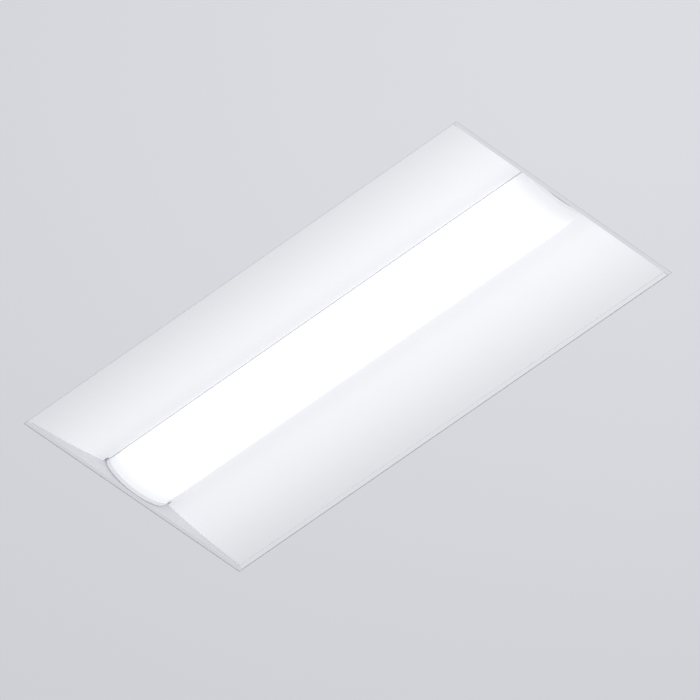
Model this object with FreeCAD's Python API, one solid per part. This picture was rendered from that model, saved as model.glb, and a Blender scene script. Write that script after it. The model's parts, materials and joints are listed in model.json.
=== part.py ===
import FreeCAD, Part
import math
import os

from FreeCAD import Placement, Rotation, Vector

# Recessed troffer light, 2 x 4 ft lay-in size, millimetres.
# X runs along the housing from its far end (-X) to its near end (+X).
# Y runs across it from its left side (-Y) to its right side (+Y).
# Z = 0 is the underside of the flange that lies on the ceiling grid, +Z points up.

# ---------------------------------------------------------------- driving dimensions
overall_length = 1212.8
overall_width = 603.2
flange_width = 10.0
sheet = 1.0
bend = 1.0
sheet_gap = 0.1
plate_gap = 0.15

# side reflectors
riser_height = 4.0
return_height = 25.0
return_hem = 12.0
bay_half_width = 84.0
wing_top_z = 37.0
wing_turn_y = 151.6
wing_turn_z = 20.8
wing_inner_flat = 3.7
wing_end_flange = 12.0
wing_end_flange_margin = 8.0
up_leg_height = 20.8
notch_length = 12.0
notch_width = 7.0
notch_height = 10.0
wing_screw_inner = 26.0
wing_screw_middle = 36.0
wing_screw_outer = 22.0

# centre channel and tray
channel_top = 84.0
channel_foot_gap = 0.3
channel_end_flange = 16.0
channel_end_flange_half = 76.0
channel_screw_y = 52.0
channel_screw_drop = 8.0
channel_rivet_count = 5
channel_rivet_end_inset = 56.3
channel_rivet_rise = 15.0
tray_z = 58.0
tray_flange = 12.0
tray_end_gap = 5.0
tray_screw_end_inset = 111.4
tray_screw_rise = 6.0

# end plates
end_lip_height = 14.0
shoulder_z = 46.0
shoulder_y = 205.0
neck_y = 95.0
end_plate_corner_radius = 3.0
hanger_hole_y = 225.0
hanger_hole_z = 32.0
hanger_hole_radius = 3.2
knockout_radius = 11.1
knockout_groove = 0.5
knockout_z = 67.0

# grid clips on the end plates' shelves
shelf_depth = 9.0
shelf_inner_y = 110.0
shelf_outer_y = 199.0
clip_pivot_y = 190.0
clip_pivot_inset = 4.5
clip_length = 40.0
clip_width = 8.0
clip_sheet = 1.5
clip_tab_height = 9.0
clip_rivet_radius = 2.0

# lens door
door_side_gap = 1.5
door_end_gap = 2.0
lens_drop = 35.0
lens_wall = 2.0
lens_leg_rise = 6.0
lens_leg_step = 1.1
lens_shoulder_rise = 0.3
lens_end_gap = 0.2
rail_wall = 0.9
rail_fit = 0.1
rail_skirt_gap = 0.5
rail_web_width = 12.0
screw_port_radius = 3.0
screw_port_inset = 9.0
screw_port_bite = 0.4
cap_thickness = 3.0
cap_skirt = 6.0
cap_wall = 1.2
cap_fit = 0.15
cap_rise = 9.0
cap_corner_radius = 3.0
cap_pin_fit = 0.02
cap_head_fit = 0.2
cap_screw_length = 14.0
hinge_inset = 0.5
hinge_drop = 1.0
ear_radius = 3.4
pin_radius = 1.5
pin_fit = 0.05
pin_grip = 2.4
pin_end_play = 0.8
bush_wall = 1.3
bush_flange_radius = 4.6
bush_flange_thickness = 1.0

# friction catches on the left side of the door
catch_reach = 250.0
tongue_sheet = 1.5
tongue_foot = 14.0
tongue_height = 11.0
tongue_setback = 3.0
tongue_width = 11.0
tongue_rivet_tail = 0.6
tongue_rivet_reach = 8.68
tongue_rivet_inset = 3.4
tongue_rivet_head_radius = 2.4
tongue_rivet_head_height = 0.8
catch_sheet = 0.5
catch_fit = 0.2
catch_body_half = 6.0
catch_depth = 14.5
catch_shoulder = 4.5
catch_flare = 2.0
catch_height = 8.0
catch_rise = 0.5
catch_mouth = 1.5
catch_jaw = 4.0

# LED boards under the tray
board_row_y = 45.0
board_width = 22.0
board_thickness = 1.6
board_middle_gap = 10.0
board_end_margin = 15.0
chips_per_board = 16
chip_length = 3.5
chip_width = 2.8
chip_height = 0.7
connector_size = 8.0
connector_height = 4.0
connector_inset = 5.6
connector_chamfer = 0.6
board_screw_offset = 7.5
board_screw_inset = 18.0
board_screw_tail = 1.5

# driver above the tray
driver_length = 290.0
driver_width = 44.0
driver_height = 22.0
driver_from_access = 90.0
driver_edge_radius = 2.5
driver_ear_reach = 8.0
driver_ear_length = 14.0
driver_ear_thickness = 1.2
driver_ear_inset = 20.0
driver_ear_root = 4.0
driver_screw_tail = 2.0
terminal_length = 12.0
terminal_width = 26.0
terminal_height = 11.0
terminal_raise = 1.0
terminal_chamfer = 1.0
terminal_ways = 4
terminal_slot_width = 2.6
terminal_slot_inset = 3.5
terminal_slot_depth = 2.5

# wiring
output_lead_radius = 0.9
supply_lead_radius = 1.2
lead_end_gap = 0.3
lead_sides = 5
lead_level = 7.0
lead_spread = 4.0
grommet_bore = 4.5
grommet_wall = 1.5
grommet_flange = 2.0
grommet_flange_thickness = 1.0
plug_length = 26.0
plug_width = 16.0
plug_height = 11.0
plug_edge_radius = 1.0
plug_waist_width = 2.0
plug_waist_depth = 1.5
plug_socket_offset = 3.6
plug_socket_radius = 1.7
plug_socket_depth = 8.0
plug_lead_offset = 3.0
plug_from_access = 9.0
plug_y = 55.0
ground_from_access = 52.0
ground_y = 64.0
lug_sheet = 0.8
lug_ring_radius = 4.4
lug_barrel_length = 6.0
lug_barrel_radius = 1.9
lug_neck_width = 3.2
lug_wire_rise = 0.2

# access plate on the channel
access_from_end = 86.3
access_length = 120.0
access_width = 100.0
access_corner_radius = 6.0
access_hole_length = 90.0
access_hole_width = 66.0
access_margin = 8.0
access_rivet_radius = 2.5
access_rivet_head_radius = 5.0
access_rivet_head_height = 1.3
access_screw_radius = 2.0
access_screw_head_radius = 4.2
access_screw_length = 9.0
access_slot_fit = 0.25
conduit_hole_radius = 11.1
conduit_offset_x = -10.0
conduit_offset_y = 8.0

# small fasteners and what fits round them, kept to few sides
fastener_sides = 6
ring_sides = 12
screw_radius = 1.9
screw_head_radius = 3.6
screw_head_height = 1.6
screw_length = 6.0
hole_fit = 0.1
small_screw_radius = 1.2
small_screw_head_radius = 2.7
small_screw_head_height = 1.4
rivet_radius = 1.6
rivet_head_radius = 3.0
rivet_tail_radius = 2.4
rivet_head_height = 1.1

# ---------------------------------------------------------------- derived places
half_length = overall_length / 2
half_width = overall_width / 2
opening_x = half_length - flange_width
opening_y = half_width - flange_width
wall_out_x = opening_x + sheet
side_end_x = opening_x - sheet_gap
up_leg_top = wing_top_z + up_leg_height
channel_half = bay_half_width + 2 * sheet
channel_inside = channel_half - sheet
channel_foot_z = wing_top_z + sheet + bend + channel_foot_gap
tray_half = channel_inside - sheet_gap
tray_end_x = opening_x - tray_end_gap
tray_top = tray_z + sheet

wing_inner_flank = math.hypot(wing_turn_y - bay_half_width, wing_top_z - wing_turn_z)
wing_turn = (math.atan2(wing_top_z - wing_turn_z, wing_turn_y - bay_half_width)
             - math.atan2(wing_turn_z - riser_height, opening_y - wing_turn_y))
wing_turn_radius = (wing_inner_flank - wing_inner_flat) / math.tan(wing_turn / 2) - sheet

lens_half = bay_half_width - door_side_gap
rail_top_z = wing_top_z + lens_leg_rise + rail_fit + rail_wall
cap_out_x = opening_x - door_end_gap
cap_in_x = cap_out_x - cap_thickness
cap_half = lens_half + cap_fit + cap_wall
cap_drop = lens_drop + cap_fit + cap_wall
cap_top_z = wing_top_z + cap_rise
hinge_y = lens_half - hinge_inset
hinge_z = wing_top_z - hinge_drop
port_y = lens_half - screw_port_inset
port_z = wing_top_z + lens_leg_rise + rail_fit + screw_port_bite - screw_port_radius
tongue_y = -(lens_half - tongue_setback)
catch_z = rail_top_z + tongue_height - catch_height + catch_rise
catch_xs = (-catch_reach, catch_reach)

board_z = tray_z - board_thickness
board_length = tray_end_x - board_end_margin - board_middle_gap / 2
connector_z = board_z - connector_height
connector_x = board_middle_gap / 2 + connector_inset
far_connector_x = board_middle_gap / 2 + board_length - connector_inset
access_x = -(side_end_x - access_from_end)
plug_x = access_x - plug_from_access
ground_x = access_x + ground_from_access
driver_start_x = access_x + driver_from_access
driver_end_x = driver_start_x + driver_length
lead_z = tray_top + lead_level

access_rivet = Vector(access_x + access_length / 2 - access_margin, -access_width / 2 + access_margin, 0)
access_screw = Vector(access_x - access_length / 2 + access_margin, -access_width / 2 + access_margin, 0)
access_z = channel_top + plate_gap

UP = Vector(0, 0, 1)
ALONG = Vector(1, 0, 0)
ACROSS = Vector(0, 1, 0)
SECTION = Placement(Vector(), Rotation(Vector(1, 1, 1), 120))
SIDE_VIEW = Placement(Vector(), Rotation(Vector(1, 0, 0), 90))


# ---------------------------------------------------------------- profile helpers
def fillet_edges(points, radii, closed=False):
    """Lines through 2-D points, with an arc of the given radius at each corner."""
    count = len(points)
    corners = [Vector(p[0], p[1], 0) for p in points]
    starts, ends, mids = [], [], []
    for i, corner in enumerate(corners):
        radius = radii[i]
        if not closed and i in (0, count - 1):
            radius = 0
        back = (corners[i - 1] - corner)
        ahead = (corners[(i + 1) % count] - corner)
        if radius == 0 or back.Length == 0 or ahead.Length == 0:
            starts.append(corner)
            ends.append(corner)
            mids.append(None)
            continue
        back.normalize()
        ahead.normalize()
        half = back.getAngle(ahead) / 2
        reach = radius / math.tan(half)
        bisector = (back + ahead).normalize()
        centre = corner + bisector * (radius / math.sin(half))
        starts.append(corner + back * reach)
        ends.append(corner + ahead * reach)
        mids.append(centre - bisector * radius)
    edges = []
    last = count if closed else count - 1
    for i in range(count):
        if mids[i] is not None:
            edges.append(Part.Arc(starts[i], mids[i], ends[i]).toShape())
        if i < last:
            following = starts[(i + 1) % count]
            if (following - ends[i]).Length > 1e-6:
                edges.append(Part.LineSegment(ends[i], following).toShape())
    return edges


def closed_face(points, radius=0.0):
    """A flat face inside a polygon whose corners all have one radius."""
    return Part.Face(Part.Wire(fillet_edges(points, [radius] * len(points), closed=True)))


def offset_points(points, distance):
    """The polyline moved to its left by a distance, with mitred corners."""
    vectors = [Vector(p[0], p[1], 0) for p in points]
    normals = []
    for a, b in zip(vectors, vectors[1:]):
        along = (b - a).normalize()
        normals.append(Vector(-along.y, along.x, 0))
    moved = [vectors[0] + normals[0] * distance]
    for i in range(1, len(vectors) - 1):
        bisector = (normals[i - 1] + normals[i]).normalize()
        moved.append(vectors[i] + bisector * (distance / bisector.dot(normals[i])))
    moved.append(vectors[-1] + normals[-1] * distance)
    return [(v.x, v.y) for v in moved]


def strip_face(points, thickness, radii):
    """A bent strip of sheet: points run along one face, the metal lies to their left."""
    near_radii, far_radii = [], []
    for i in range(len(points)):
        if i in (0, len(points) - 1):
            near_radii.append(0)
            far_radii.append(0)
            continue
        (ax, ay), (bx, by), (cx, cy) = points[i - 1], points[i], points[i + 1]
        left_turn = (bx - ax) * (cy - by) - (by - ay) * (cx - bx) > 0
        near_radii.append(radii[i] + thickness if left_turn else radii[i])
        far_radii.append(radii[i] if left_turn else radii[i] + thickness)
    near = fillet_edges(points, near_radii)
    moved = offset_points(points, thickness)
    far = fillet_edges(moved, far_radii)
    ends = []
    for p, q in ((points[0], moved[0]), (points[-1], moved[-1])):
        ends.append(Part.LineSegment(Vector(p[0], p[1], 0), Vector(q[0], q[1], 0)).toShape())
    return Part.Face(Part.Wire(Part.__sortEdges__(near + far + ends)))


def along_x(face, low, high):
    """Extrude a face drawn in (y, z) from x = low to x = high."""
    solid = face.extrude(Vector(0, 0, high - low))
    solid.Placement = SECTION
    solid.translate(Vector(low, 0, 0))
    return solid


def along_y(face, low, high):
    """Extrude a face drawn in (x, z) from y = low to y = high."""
    solid = face.extrude(Vector(0, 0, high - low))
    solid.Placement = SIDE_VIEW
    solid.translate(Vector(0, high, 0))
    return solid


def along_z(face, low, high):
    """Extrude a face drawn in (x, y) from z = low to z = high."""
    solid = face.extrude(Vector(0, 0, high - low))
    solid.translate(Vector(0, 0, low))
    return solid


def block(low, high):
    """A box between two corners."""
    size = [high[i] - low[i] for i in range(3)]
    return Part.makeBox(size[0], size[1], size[2], Vector(*low))


def rod(radius, start, length, axis=UP):
    """A round bar from a start point along an axis."""
    return Part.makeCylinder(radius, length, Vector(*start), axis)


def join(shapes):
    """One solid from touching or overlapping shapes."""
    first, rest = shapes[0], shapes[1:]
    return first.fuse(rest).removeSplitter() if rest else first


def cut(shape, tools):
    """A shape less its tools."""
    return shape.cut(tools).removeSplitter() if tools else shape


def group(shapes):
    """Separate solids that share one node."""
    return Part.Compound(shapes)


def mirrored(shape, axis):
    """The shape's mirror image in the plane through the origin, square to an axis."""
    return shape.mirror(Vector(), axis)


def turned(profile, seat, axis):
    """A solid of revolution from (radius, height) points, stood on a seat along an axis."""
    corners = [Vector(r, 0, h) for r, h in profile]
    solid = Part.Face(Part.makePolygon(corners + [corners[0]])).revolve(Vector(), UP, 360)
    solid.Placement = Placement(seat, Rotation(UP, axis))
    return solid


def prism(radius, start, length, axis, sides=fastener_sides):
    """A many-sided bar, for small fasteners and the holes that they pass through."""
    corners = []
    for i in range(sides):
        turn = 2 * math.pi * i / sides
        corners.append(Vector(radius * math.cos(turn), radius * math.sin(turn), 0))
    solid = Part.Face(Part.makePolygon(corners + [corners[0]])).extrude(UP * length)
    solid.Placement = Placement(Vector(*start), Rotation(UP, Vector(*axis)))
    return solid


def headed_pin(seat, axis, radius, head_radius, head_height, length):
    """A plain screw with its head on a seat, its shank going against the axis."""
    axis = Vector(*axis)
    seat = Vector(*seat)
    head = prism(head_radius, seat, head_height, axis)
    shank = prism(radius, seat - axis * length, length + head_height / 2, axis)
    return join([head, shank])


def screw(seat, axis, length=screw_length):
    """A sheet-metal screw with its head on a seat."""
    return headed_pin(seat, axis, screw_radius, screw_head_radius, screw_head_height, length)


def rivet(seat, axis, grip):
    """A rivet with a head on both faces of what it holds."""
    axis = Vector(*axis)
    tail = prism(rivet_tail_radius, Vector(*seat) - axis * (grip + rivet_head_height), rivet_head_height, axis)
    pin = headed_pin(seat, axis, rivet_radius, rivet_head_radius, rivet_head_height, grip + rivet_head_height / 2)
    return join([pin, tail])


def pivot_rivet(seat, grip, radius, head_radius, head_height):
    """An upright rivet with a round shank, on which a flat piece swings."""
    seat = Vector(*seat)
    shank = prism(radius, seat - UP * (grip + head_height / 2), grip + head_height, UP, ring_sides)
    head = prism(head_radius, seat, head_height, UP)
    tail = prism(head_radius * 0.85, seat - UP * (grip + head_height), head_height, UP)
    return join([shank, head, tail])


def round_about(radius, start, length, axis=UP, sides=ring_sides):
    """A many-sided bar whose flats lie at the radius, to clear a round piece inside it."""
    return prism(radius / math.cos(math.pi / sides), start, length, axis, sides)


def hole(centre, axis, radius, reach=4.0):
    """A round cutting bar centred on a sheet."""
    axis = Vector(*axis)
    return rod(radius, Vector(*centre) - axis * reach, 2 * reach, axis)


def screw_hole(centre, axis, radius, reach=4.0):
    """A cutting bar for a small fastener's hole, with the fastener's own sides."""
    axis = Vector(*axis)
    return prism(radius + hole_fit, Vector(*centre) - axis * reach, 2 * reach, axis)


def lead(points, radius):
    """A wire along straight runs that are joined by tangent arcs, as large as they fit."""
    corners = [Vector(*p) for p in points]
    edges, here = [], corners[0]
    for before, corner, after in zip(corners, corners[1:], corners[2:]):
        back = before - corner
        ahead = after - corner
        reach = 0.45 * min(back.Length, ahead.Length)
        half = back.getAngle(ahead) / 2
        back.normalize()
        ahead.normalize()
        bisector = (back + ahead).normalize()
        arc_radius = reach * math.tan(half)
        middle = corner + bisector * (arc_radius / math.sin(half) - arc_radius)
        start = corner + back * reach
        end = corner + ahead * reach
        edges.append(Part.LineSegment(here, start).toShape())
        edges.append(Part.Arc(start, middle, end).toShape())
        here = end
    edges.append(Part.LineSegment(here, corners[-1]).toShape())
    turn = Rotation(UP, corners[1] - corners[0])
    ring = []
    for i in range(lead_sides + 1):
        angle = 2 * math.pi * i / lead_sides
        ring.append(corners[0] + turn.multVec(Vector(radius * math.cos(angle), radius * math.sin(angle), 0)))
    return Part.Wire(edges).makePipeShell([Part.makePolygon(ring)], True, False)


# ---------------------------------------------------------------- places of fasteners
wing_screw_ys = (bay_half_width + wing_screw_inner, wing_turn_y + wing_screw_middle, opening_y - wing_screw_outer)
channel_screw_ys = (-channel_screw_y, channel_screw_y)
channel_screw_z = channel_top - channel_screw_drop
rivet_reach = side_end_x - channel_rivet_end_inset
rivet_xs = [rivet_reach * (2 * i / (channel_rivet_count - 1) - 1) for i in range(channel_rivet_count)]
rivet_z = wing_top_z + channel_rivet_rise
tray_screw_reach = tray_end_x - tray_screw_end_inset
tray_screw_xs = (-tray_screw_reach, 0.0, tray_screw_reach)
tray_screw_z = tray_top + tray_screw_rise


def wing_z(y):
    """Height of the reflector's seen face, taken on its two straight flanks."""
    if y < wing_turn_y:
        slope = (wing_top_z - wing_turn_z) / (wing_turn_y - bay_half_width)
        return wing_turn_z + slope * (wing_turn_y - y)
    slope = (wing_turn_z - riser_height) / (opening_y - wing_turn_y)
    return riser_height + slope * (opening_y - y)


def wing_screw_points():
    """Centres (y, z) of the screws between an end plate and one reflector's end flange."""
    return [(y, wing_z(y) + sheet + wing_end_flange * 0.6) for y in wing_screw_ys]


# ---------------------------------------------------------------- housing
def side_reflector():
    """The right-hand reflector: bay leg, curved wing, riser, grid flange and outer return."""
    path = [
        (bay_half_width, up_leg_top),
        (bay_half_width, wing_top_z),
        (wing_turn_y, wing_turn_z),
        (opening_y, riser_height),
        (opening_y, 0),
        (half_width, 0),
        (half_width, return_height),
        (half_width - return_hem, return_height),
    ]
    radii = [0, bend, wing_turn_radius, bend, bend, bend, bend, 0]
    body = along_x(strip_face(path, sheet, radii), -side_end_x, side_end_x)

    inner = bay_half_width + wing_end_flange_margin + notch_width
    outer = opening_y - wing_end_flange_margin
    depth = sheet + wing_end_flange
    crest = [(bay_half_width, wing_top_z), (wing_turn_y, wing_turn_z), (opening_y, riser_height)]
    flange_face = strip_face(crest, depth, [0, wing_turn_radius + sheet - depth, 0])
    kept = block((-half_length, inner, 0), (half_length, outer, channel_top))
    flanges = [
        along_x(flange_face, side_end_x - sheet, side_end_x).common(kept),
        along_x(flange_face, -side_end_x, -side_end_x + sheet).common(kept),
    ]
    body = join([body] + flanges)

    tools = []
    for end in (-1, 1):
        near, far = sorted((end * (side_end_x - notch_length), end * (side_end_x + 1)))
        low = (near, bay_half_width - 1, wing_top_z - 5)
        high = (far, bay_half_width + notch_width, wing_top_z + notch_height)
        tools.append(block(low, high))
        for y, z in wing_screw_points():
            tools.append(screw_hole((end * side_end_x, y, z), ALONG, screw_radius))
    for x in rivet_xs:
        tools.append(screw_hole((x, bay_half_width, rivet_z), ACROSS, rivet_radius))
    return cut(body, tools)


def catch_rivet_points():
    """Places where the catch springs are riveted to the left reflector's leg."""
    return [(x, -bay_half_width, catch_z + catch_height / 2) for x in catch_xs]


def side_reflector_left():
    """The left-hand reflector, which also carries the catch springs."""
    body = mirrored(side_reflector(), ACROSS)
    return cut(body, [screw_hole(p, ACROSS, rivet_radius) for p in catch_rivet_points()])


def center_channel():
    """The inverted channel over the bay, which holds tray, driver and wiring."""
    path = [
        (channel_half, channel_foot_z),
        (channel_half, channel_top),
        (-channel_half, channel_top),
        (-channel_half, channel_foot_z),
    ]
    body = along_x(strip_face(path, sheet, [0, bend, bend, 0]), -side_end_x, side_end_x)
    flanges = []
    for low in (-side_end_x, side_end_x - sheet):
        corner = (low, -channel_end_flange_half, channel_top - channel_end_flange)
        flanges.append(block(corner, (low + sheet, channel_end_flange_half, channel_top - sheet / 2)))
    body = join([body] + flanges)

    left, right = access_x - access_hole_length / 2, access_x + access_hole_length / 2
    front, back = -access_hole_width / 2, access_hole_width / 2
    outline = [(left, front), (right, front), (right, back), (left, back)]
    tools = [along_z(closed_face(outline, access_corner_radius), channel_top - 5, channel_top + 5)]
    tools.append(prism(access_rivet_radius + hole_fit, access_rivet + UP * (channel_top - 2 * sheet), 3 * sheet, UP,
                       ring_sides))
    tools.append(screw_hole(access_screw + UP * channel_top, UP, access_screw_radius))
    for side in (-1, 1):
        for x in rivet_xs:
            tools.append(screw_hole((x, side * channel_half, rivet_z), ACROSS, rivet_radius))
        for x in tray_screw_xs:
            tools.append(screw_hole((x, side * channel_half, tray_screw_z), ACROSS, screw_radius))
        for y in channel_screw_ys:
            tools.append(screw_hole((side * side_end_x, y, channel_screw_z), ALONG, screw_radius))
    for point in catch_rivet_points():
        tools.append(screw_hole(point, ACROSS, rivet_radius))
    return cut(body, tools)


def end_plate():
    """The near end plate: seen wall, grid flange with lip, shelves for the grid clips."""
    path = [
        (opening_x, channel_top),
        (opening_x, 0),
        (half_length, 0),
        (half_length, end_lip_height),
    ]
    body = along_y(strip_face(path, sheet, [0, bend, bend, 0]), -half_width, half_width)
    right = [
        (half_width, 0),
        (half_width, return_height),
        (shoulder_y, shoulder_z),
        (neck_y, shoulder_z),
        (channel_half + 1, channel_top),
    ]
    outline = right + [(-y, z) for y, z in reversed(right)]
    body = body.common(along_x(closed_face(outline), opening_x - 1, half_length + 1))

    shelves = []
    for side in (-1, 1):
        near, far = sorted((side * shelf_inner_y, side * shelf_outer_y))
        low = (opening_x + sheet / 2, near, shoulder_z - sheet)
        shelves.append(block(low, (wall_out_x + shelf_depth, far, shoulder_z)))
    body = join([body] + shelves)

    tools = []
    for side in (-1, 1):
        centre = (opening_x, side * hanger_hole_y, hanger_hole_z)
        tools.append(hole(centre, ALONG, hanger_hole_radius))
        pivot = (wall_out_x + clip_pivot_inset, side * clip_pivot_y, shoulder_z)
        tools.append(prism(clip_rivet_radius + hole_fit, (pivot[0], pivot[1], shoulder_z - 2 * sheet), 3 * sheet, UP,
                           ring_sides))
        for y, z in wing_screw_points():
            tools.append(screw_hole((opening_x, side * y, z), ALONG, screw_radius))
    for y in channel_screw_ys:
        tools.append(screw_hole((opening_x, y, channel_screw_z), ALONG, screw_radius))
    bush_radius = pin_radius + pin_fit + bush_wall
    tools.append(prism(bush_radius + hole_fit, (opening_x - sheet, hinge_y, hinge_z), 3 * sheet, ALONG, ring_sides))
    ring_start = (wall_out_x - sheet / 2, 0, knockout_z)
    ring = prism(knockout_radius + knockout_groove, ring_start, sheet, ALONG, 2 * ring_sides)
    core = prism(knockout_radius, ring_start, sheet, ALONG, 2 * ring_sides)
    tools.append(ring.cut(core))
    return cut(body, tools)


def end_plate_screws():
    """Screws from outside through both end plates into reflectors and channel."""
    shapes = []
    for end in (-1, 1):
        places = [(side * y, z) for side in (-1, 1) for y, z in wing_screw_points()]
        places += [(y, channel_screw_z) for y in channel_screw_ys]
        for y, z in places:
            shapes.append(screw((end * wall_out_x, y, z), ALONG * end))
    return group(shapes)


def channel_rivets():
    """Rivets that join the reflectors' legs to the channel's walls."""
    shapes = []
    for side in (-1, 1):
        for x in rivet_xs:
            seat = (x, side * bay_half_width, rivet_z)
            shapes.append(rivet(seat, ACROSS * -side, 2 * sheet))
    return group(shapes)


def tray_screws():
    """Screws from outside through the channel's walls into the tray's edges."""
    shapes = []
    for side in (-1, 1):
        for x in tray_screw_xs:
            shapes.append(screw((x, side * channel_half, tray_screw_z), ACROSS * side))
    return group(shapes)


def pivot_bush():
    """The near flanged bush in which the door's pivot pin turns."""
    outer = pin_radius + pin_fit + bush_wall
    start = (opening_x, hinge_y, hinge_z)
    barrel = prism(outer, start, sheet + bush_flange_thickness, ALONG, ring_sides)
    flange = prism(bush_flange_radius, (wall_out_x, hinge_y, hinge_z), bush_flange_thickness, ALONG, ring_sides)
    bore = round_about(pin_radius + pin_fit, start, sheet + bush_flange_thickness, ALONG, 2 * ring_sides)
    return cut(join([barrel, flange]), [bore])


# ---------------------------------------------------------------- tray, boards and driver
def board_centres():
    """Middle of each LED board: far and near board of the right row, then the left row."""
    middle = board_middle_gap / 2 + board_length / 2
    return [(end * middle, side * board_row_y) for side in (1, -1) for end in (-1, 1)]


def board_screw_points(centre):
    """Three screw places along one board, beside its row of LEDs."""
    x, y = centre
    side = 1 if y > 0 else -1
    reach = board_length / 2 - board_screw_inset
    return [(x + step * reach, y + side * board_screw_offset) for step in (-1, 0, 1)]


def driver_screw_points():
    """Four screw places in the driver's ears."""
    xs = (driver_start_x + driver_ear_inset, driver_end_x - driver_ear_inset)
    y = driver_width / 2 + driver_ear_reach / 2
    return [(x, side * y) for x in xs for side in (-1, 1)]


def led_tray():
    """The tray across the bay, with turned-up edges."""
    path = [
        (-tray_half, tray_z + tray_flange),
        (-tray_half, tray_z),
        (tray_half, tray_z),
        (tray_half, tray_z + tray_flange),
    ]
    body = along_x(strip_face(path, sheet, [0, bend, bend, 0]), -tray_end_x, tray_end_x)
    tools = [prism(grommet_bore + grommet_wall + hole_fit, (0, 0, tray_z - sheet), 3 * sheet, UP, ring_sides)]
    for side in (-1, 1):
        for x in tray_screw_xs:
            tools.append(screw_hole((x, side * tray_half, tray_screw_z), ACROSS, screw_radius))
    for centre in board_centres():
        for x, y in board_screw_points(centre):
            tools.append(screw_hole((x, y, tray_z), UP, small_screw_radius))
    for x, y in driver_screw_points():
        tools.append(screw_hole((x, y, tray_z), UP, screw_radius))
    tools.append(screw_hole((ground_x, ground_y, tray_z), UP, screw_radius))
    return cut(body, tools)


def led_board(centre):
    """One printed board with its screw holes."""
    x, y = centre
    left, right = x - board_length / 2, x + board_length / 2
    front, back = y - board_width / 2, y + board_width / 2
    outline = [(left, front), (right, front), (right, back), (left, back)]
    body = along_z(closed_face(outline), board_z, tray_z)
    return cut(body, [screw_hole((sx, sy, board_z), UP, small_screw_radius)
                      for sx, sy in board_screw_points(centre)])


def led_chips():
    """Evenly spaced LEDs under all four boards."""
    shapes = []
    pitch = board_length / chips_per_board
    for x, y in board_centres():
        for i in range(chips_per_board):
            middle = x - board_length / 2 + pitch * (i + 0.5)
            low = (middle - chip_length / 2, y - chip_width / 2, board_z - chip_height)
            shapes.append(block(low, (middle + chip_length / 2, y + chip_width / 2, board_z)))
    return group(shapes)


def connector_centres():
    """Connector places: four at the middle of the bay and two at its near end."""
    places = [(end * connector_x, side * board_row_y) for side in (1, -1) for end in (-1, 1)]
    return places + [(far_connector_x, side * board_row_y) for side in (1, -1)]


def board_connectors():
    """Low wire connectors with a funnel-edged top."""
    half = connector_size / 2
    shapes = []
    for x, y in connector_centres():
        body = block((x - half, y - half, connector_z), (x + half, y + half, board_z))
        low_edges = [e for e in body.Edges if abs(e.CenterOfMass.z - connector_z) < 1e-6]
        shapes.append(body.makeChamfer(connector_chamfer, low_edges))
    return group(shapes)


def board_screws():
    """Small screws that hold the boards to the tray."""
    shapes = []
    for centre in board_centres():
        for x, y in board_screw_points(centre):
            length = board_thickness + sheet + board_screw_tail
            shapes.append(headed_pin((x, y, board_z), -UP, small_screw_radius,
                                     small_screw_head_radius, small_screw_head_height, length))
    return group(shapes)


def board_jumper_wires():
    """Two short wires between the boards of each row and one between the rows."""
    z = connector_z + connector_height / 2
    start = connector_x - connector_size / 2 - lead_end_gap
    dip = 1.4
    shapes = []
    for side in (-1, 1):
        y = side * board_row_y
        points = [(-start, y, z), (-start * 0.42, y, z - dip), (start * 0.42, y, z - dip), (start, y, z)]
        shapes.append(lead(points, output_lead_radius))
    reach = board_row_y - connector_size / 2 - lead_end_gap
    x = far_connector_x
    points = [(x, reach, z), (x + 1.5, reach * 0.45, z - 2.2), (x - 1.0, -reach * 0.4, z - 1.8), (x, -reach, z)]
    shapes.append(lead(points, output_lead_radius))
    return group(shapes)


def led_driver():
    """The driver's case with two pairs of fixing ears."""
    half = driver_width / 2
    outline = [(-half, tray_top), (half, tray_top), (half, tray_top + driver_height),
               (-half, tray_top + driver_height)]
    body = along_x(closed_face(outline, driver_edge_radius), driver_start_x, driver_end_x)
    ears = []
    for x, y in driver_screw_points():
        side = 1 if y > 0 else -1
        near, far = sorted((side * (half - driver_ear_root), side * (half + driver_ear_reach)))
        left, right = x - driver_ear_length / 2, x + driver_ear_length / 2
        face = closed_face([(left, near), (right, near), (right, far), (left, far)])
        ears.append(along_z(face, tray_top, tray_top + driver_ear_thickness))
    body = join([body] + ears)
    tools = [screw_hole((x, y, tray_top), UP, screw_radius) for x, y in driver_screw_points()]
    return cut(body, tools)


def driver_screws():
    """Screws through the driver's ears into the tray."""
    z = tray_top + driver_ear_thickness
    length = driver_ear_thickness + sheet + driver_screw_tail
    return group([screw((x, y, z), UP, length) for x, y in driver_screw_points()])


def driver_terminal_blocks():
    """Push-in terminal blocks at both ends of the driver."""
    low_z = tray_top + terminal_raise
    shapes = []
    for low in (driver_start_x - terminal_length, driver_end_x):
        body = block((low, -terminal_width / 2, low_z),
                     (low + terminal_length, terminal_width / 2, low_z + terminal_height))
        tops = [e for e in body.Edges if abs(e.CenterOfMass.z - low_z - terminal_height) < 1e-6]
        body = body.makeChamfer(terminal_chamfer, tops)
        slots = []
        half = terminal_slot_width / 2
        for i in range(terminal_ways):
            y = -terminal_width / 2 + terminal_width * (i + 0.5) / terminal_ways
            slots.append(block((low + terminal_slot_inset, y - half, low_z + terminal_height - terminal_slot_depth),
                               (low + terminal_length - terminal_slot_inset, y + half,
                                low_z + terminal_height + terminal_slot_depth)))
        shapes.append(cut(body, slots))
    return group(shapes)


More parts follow.
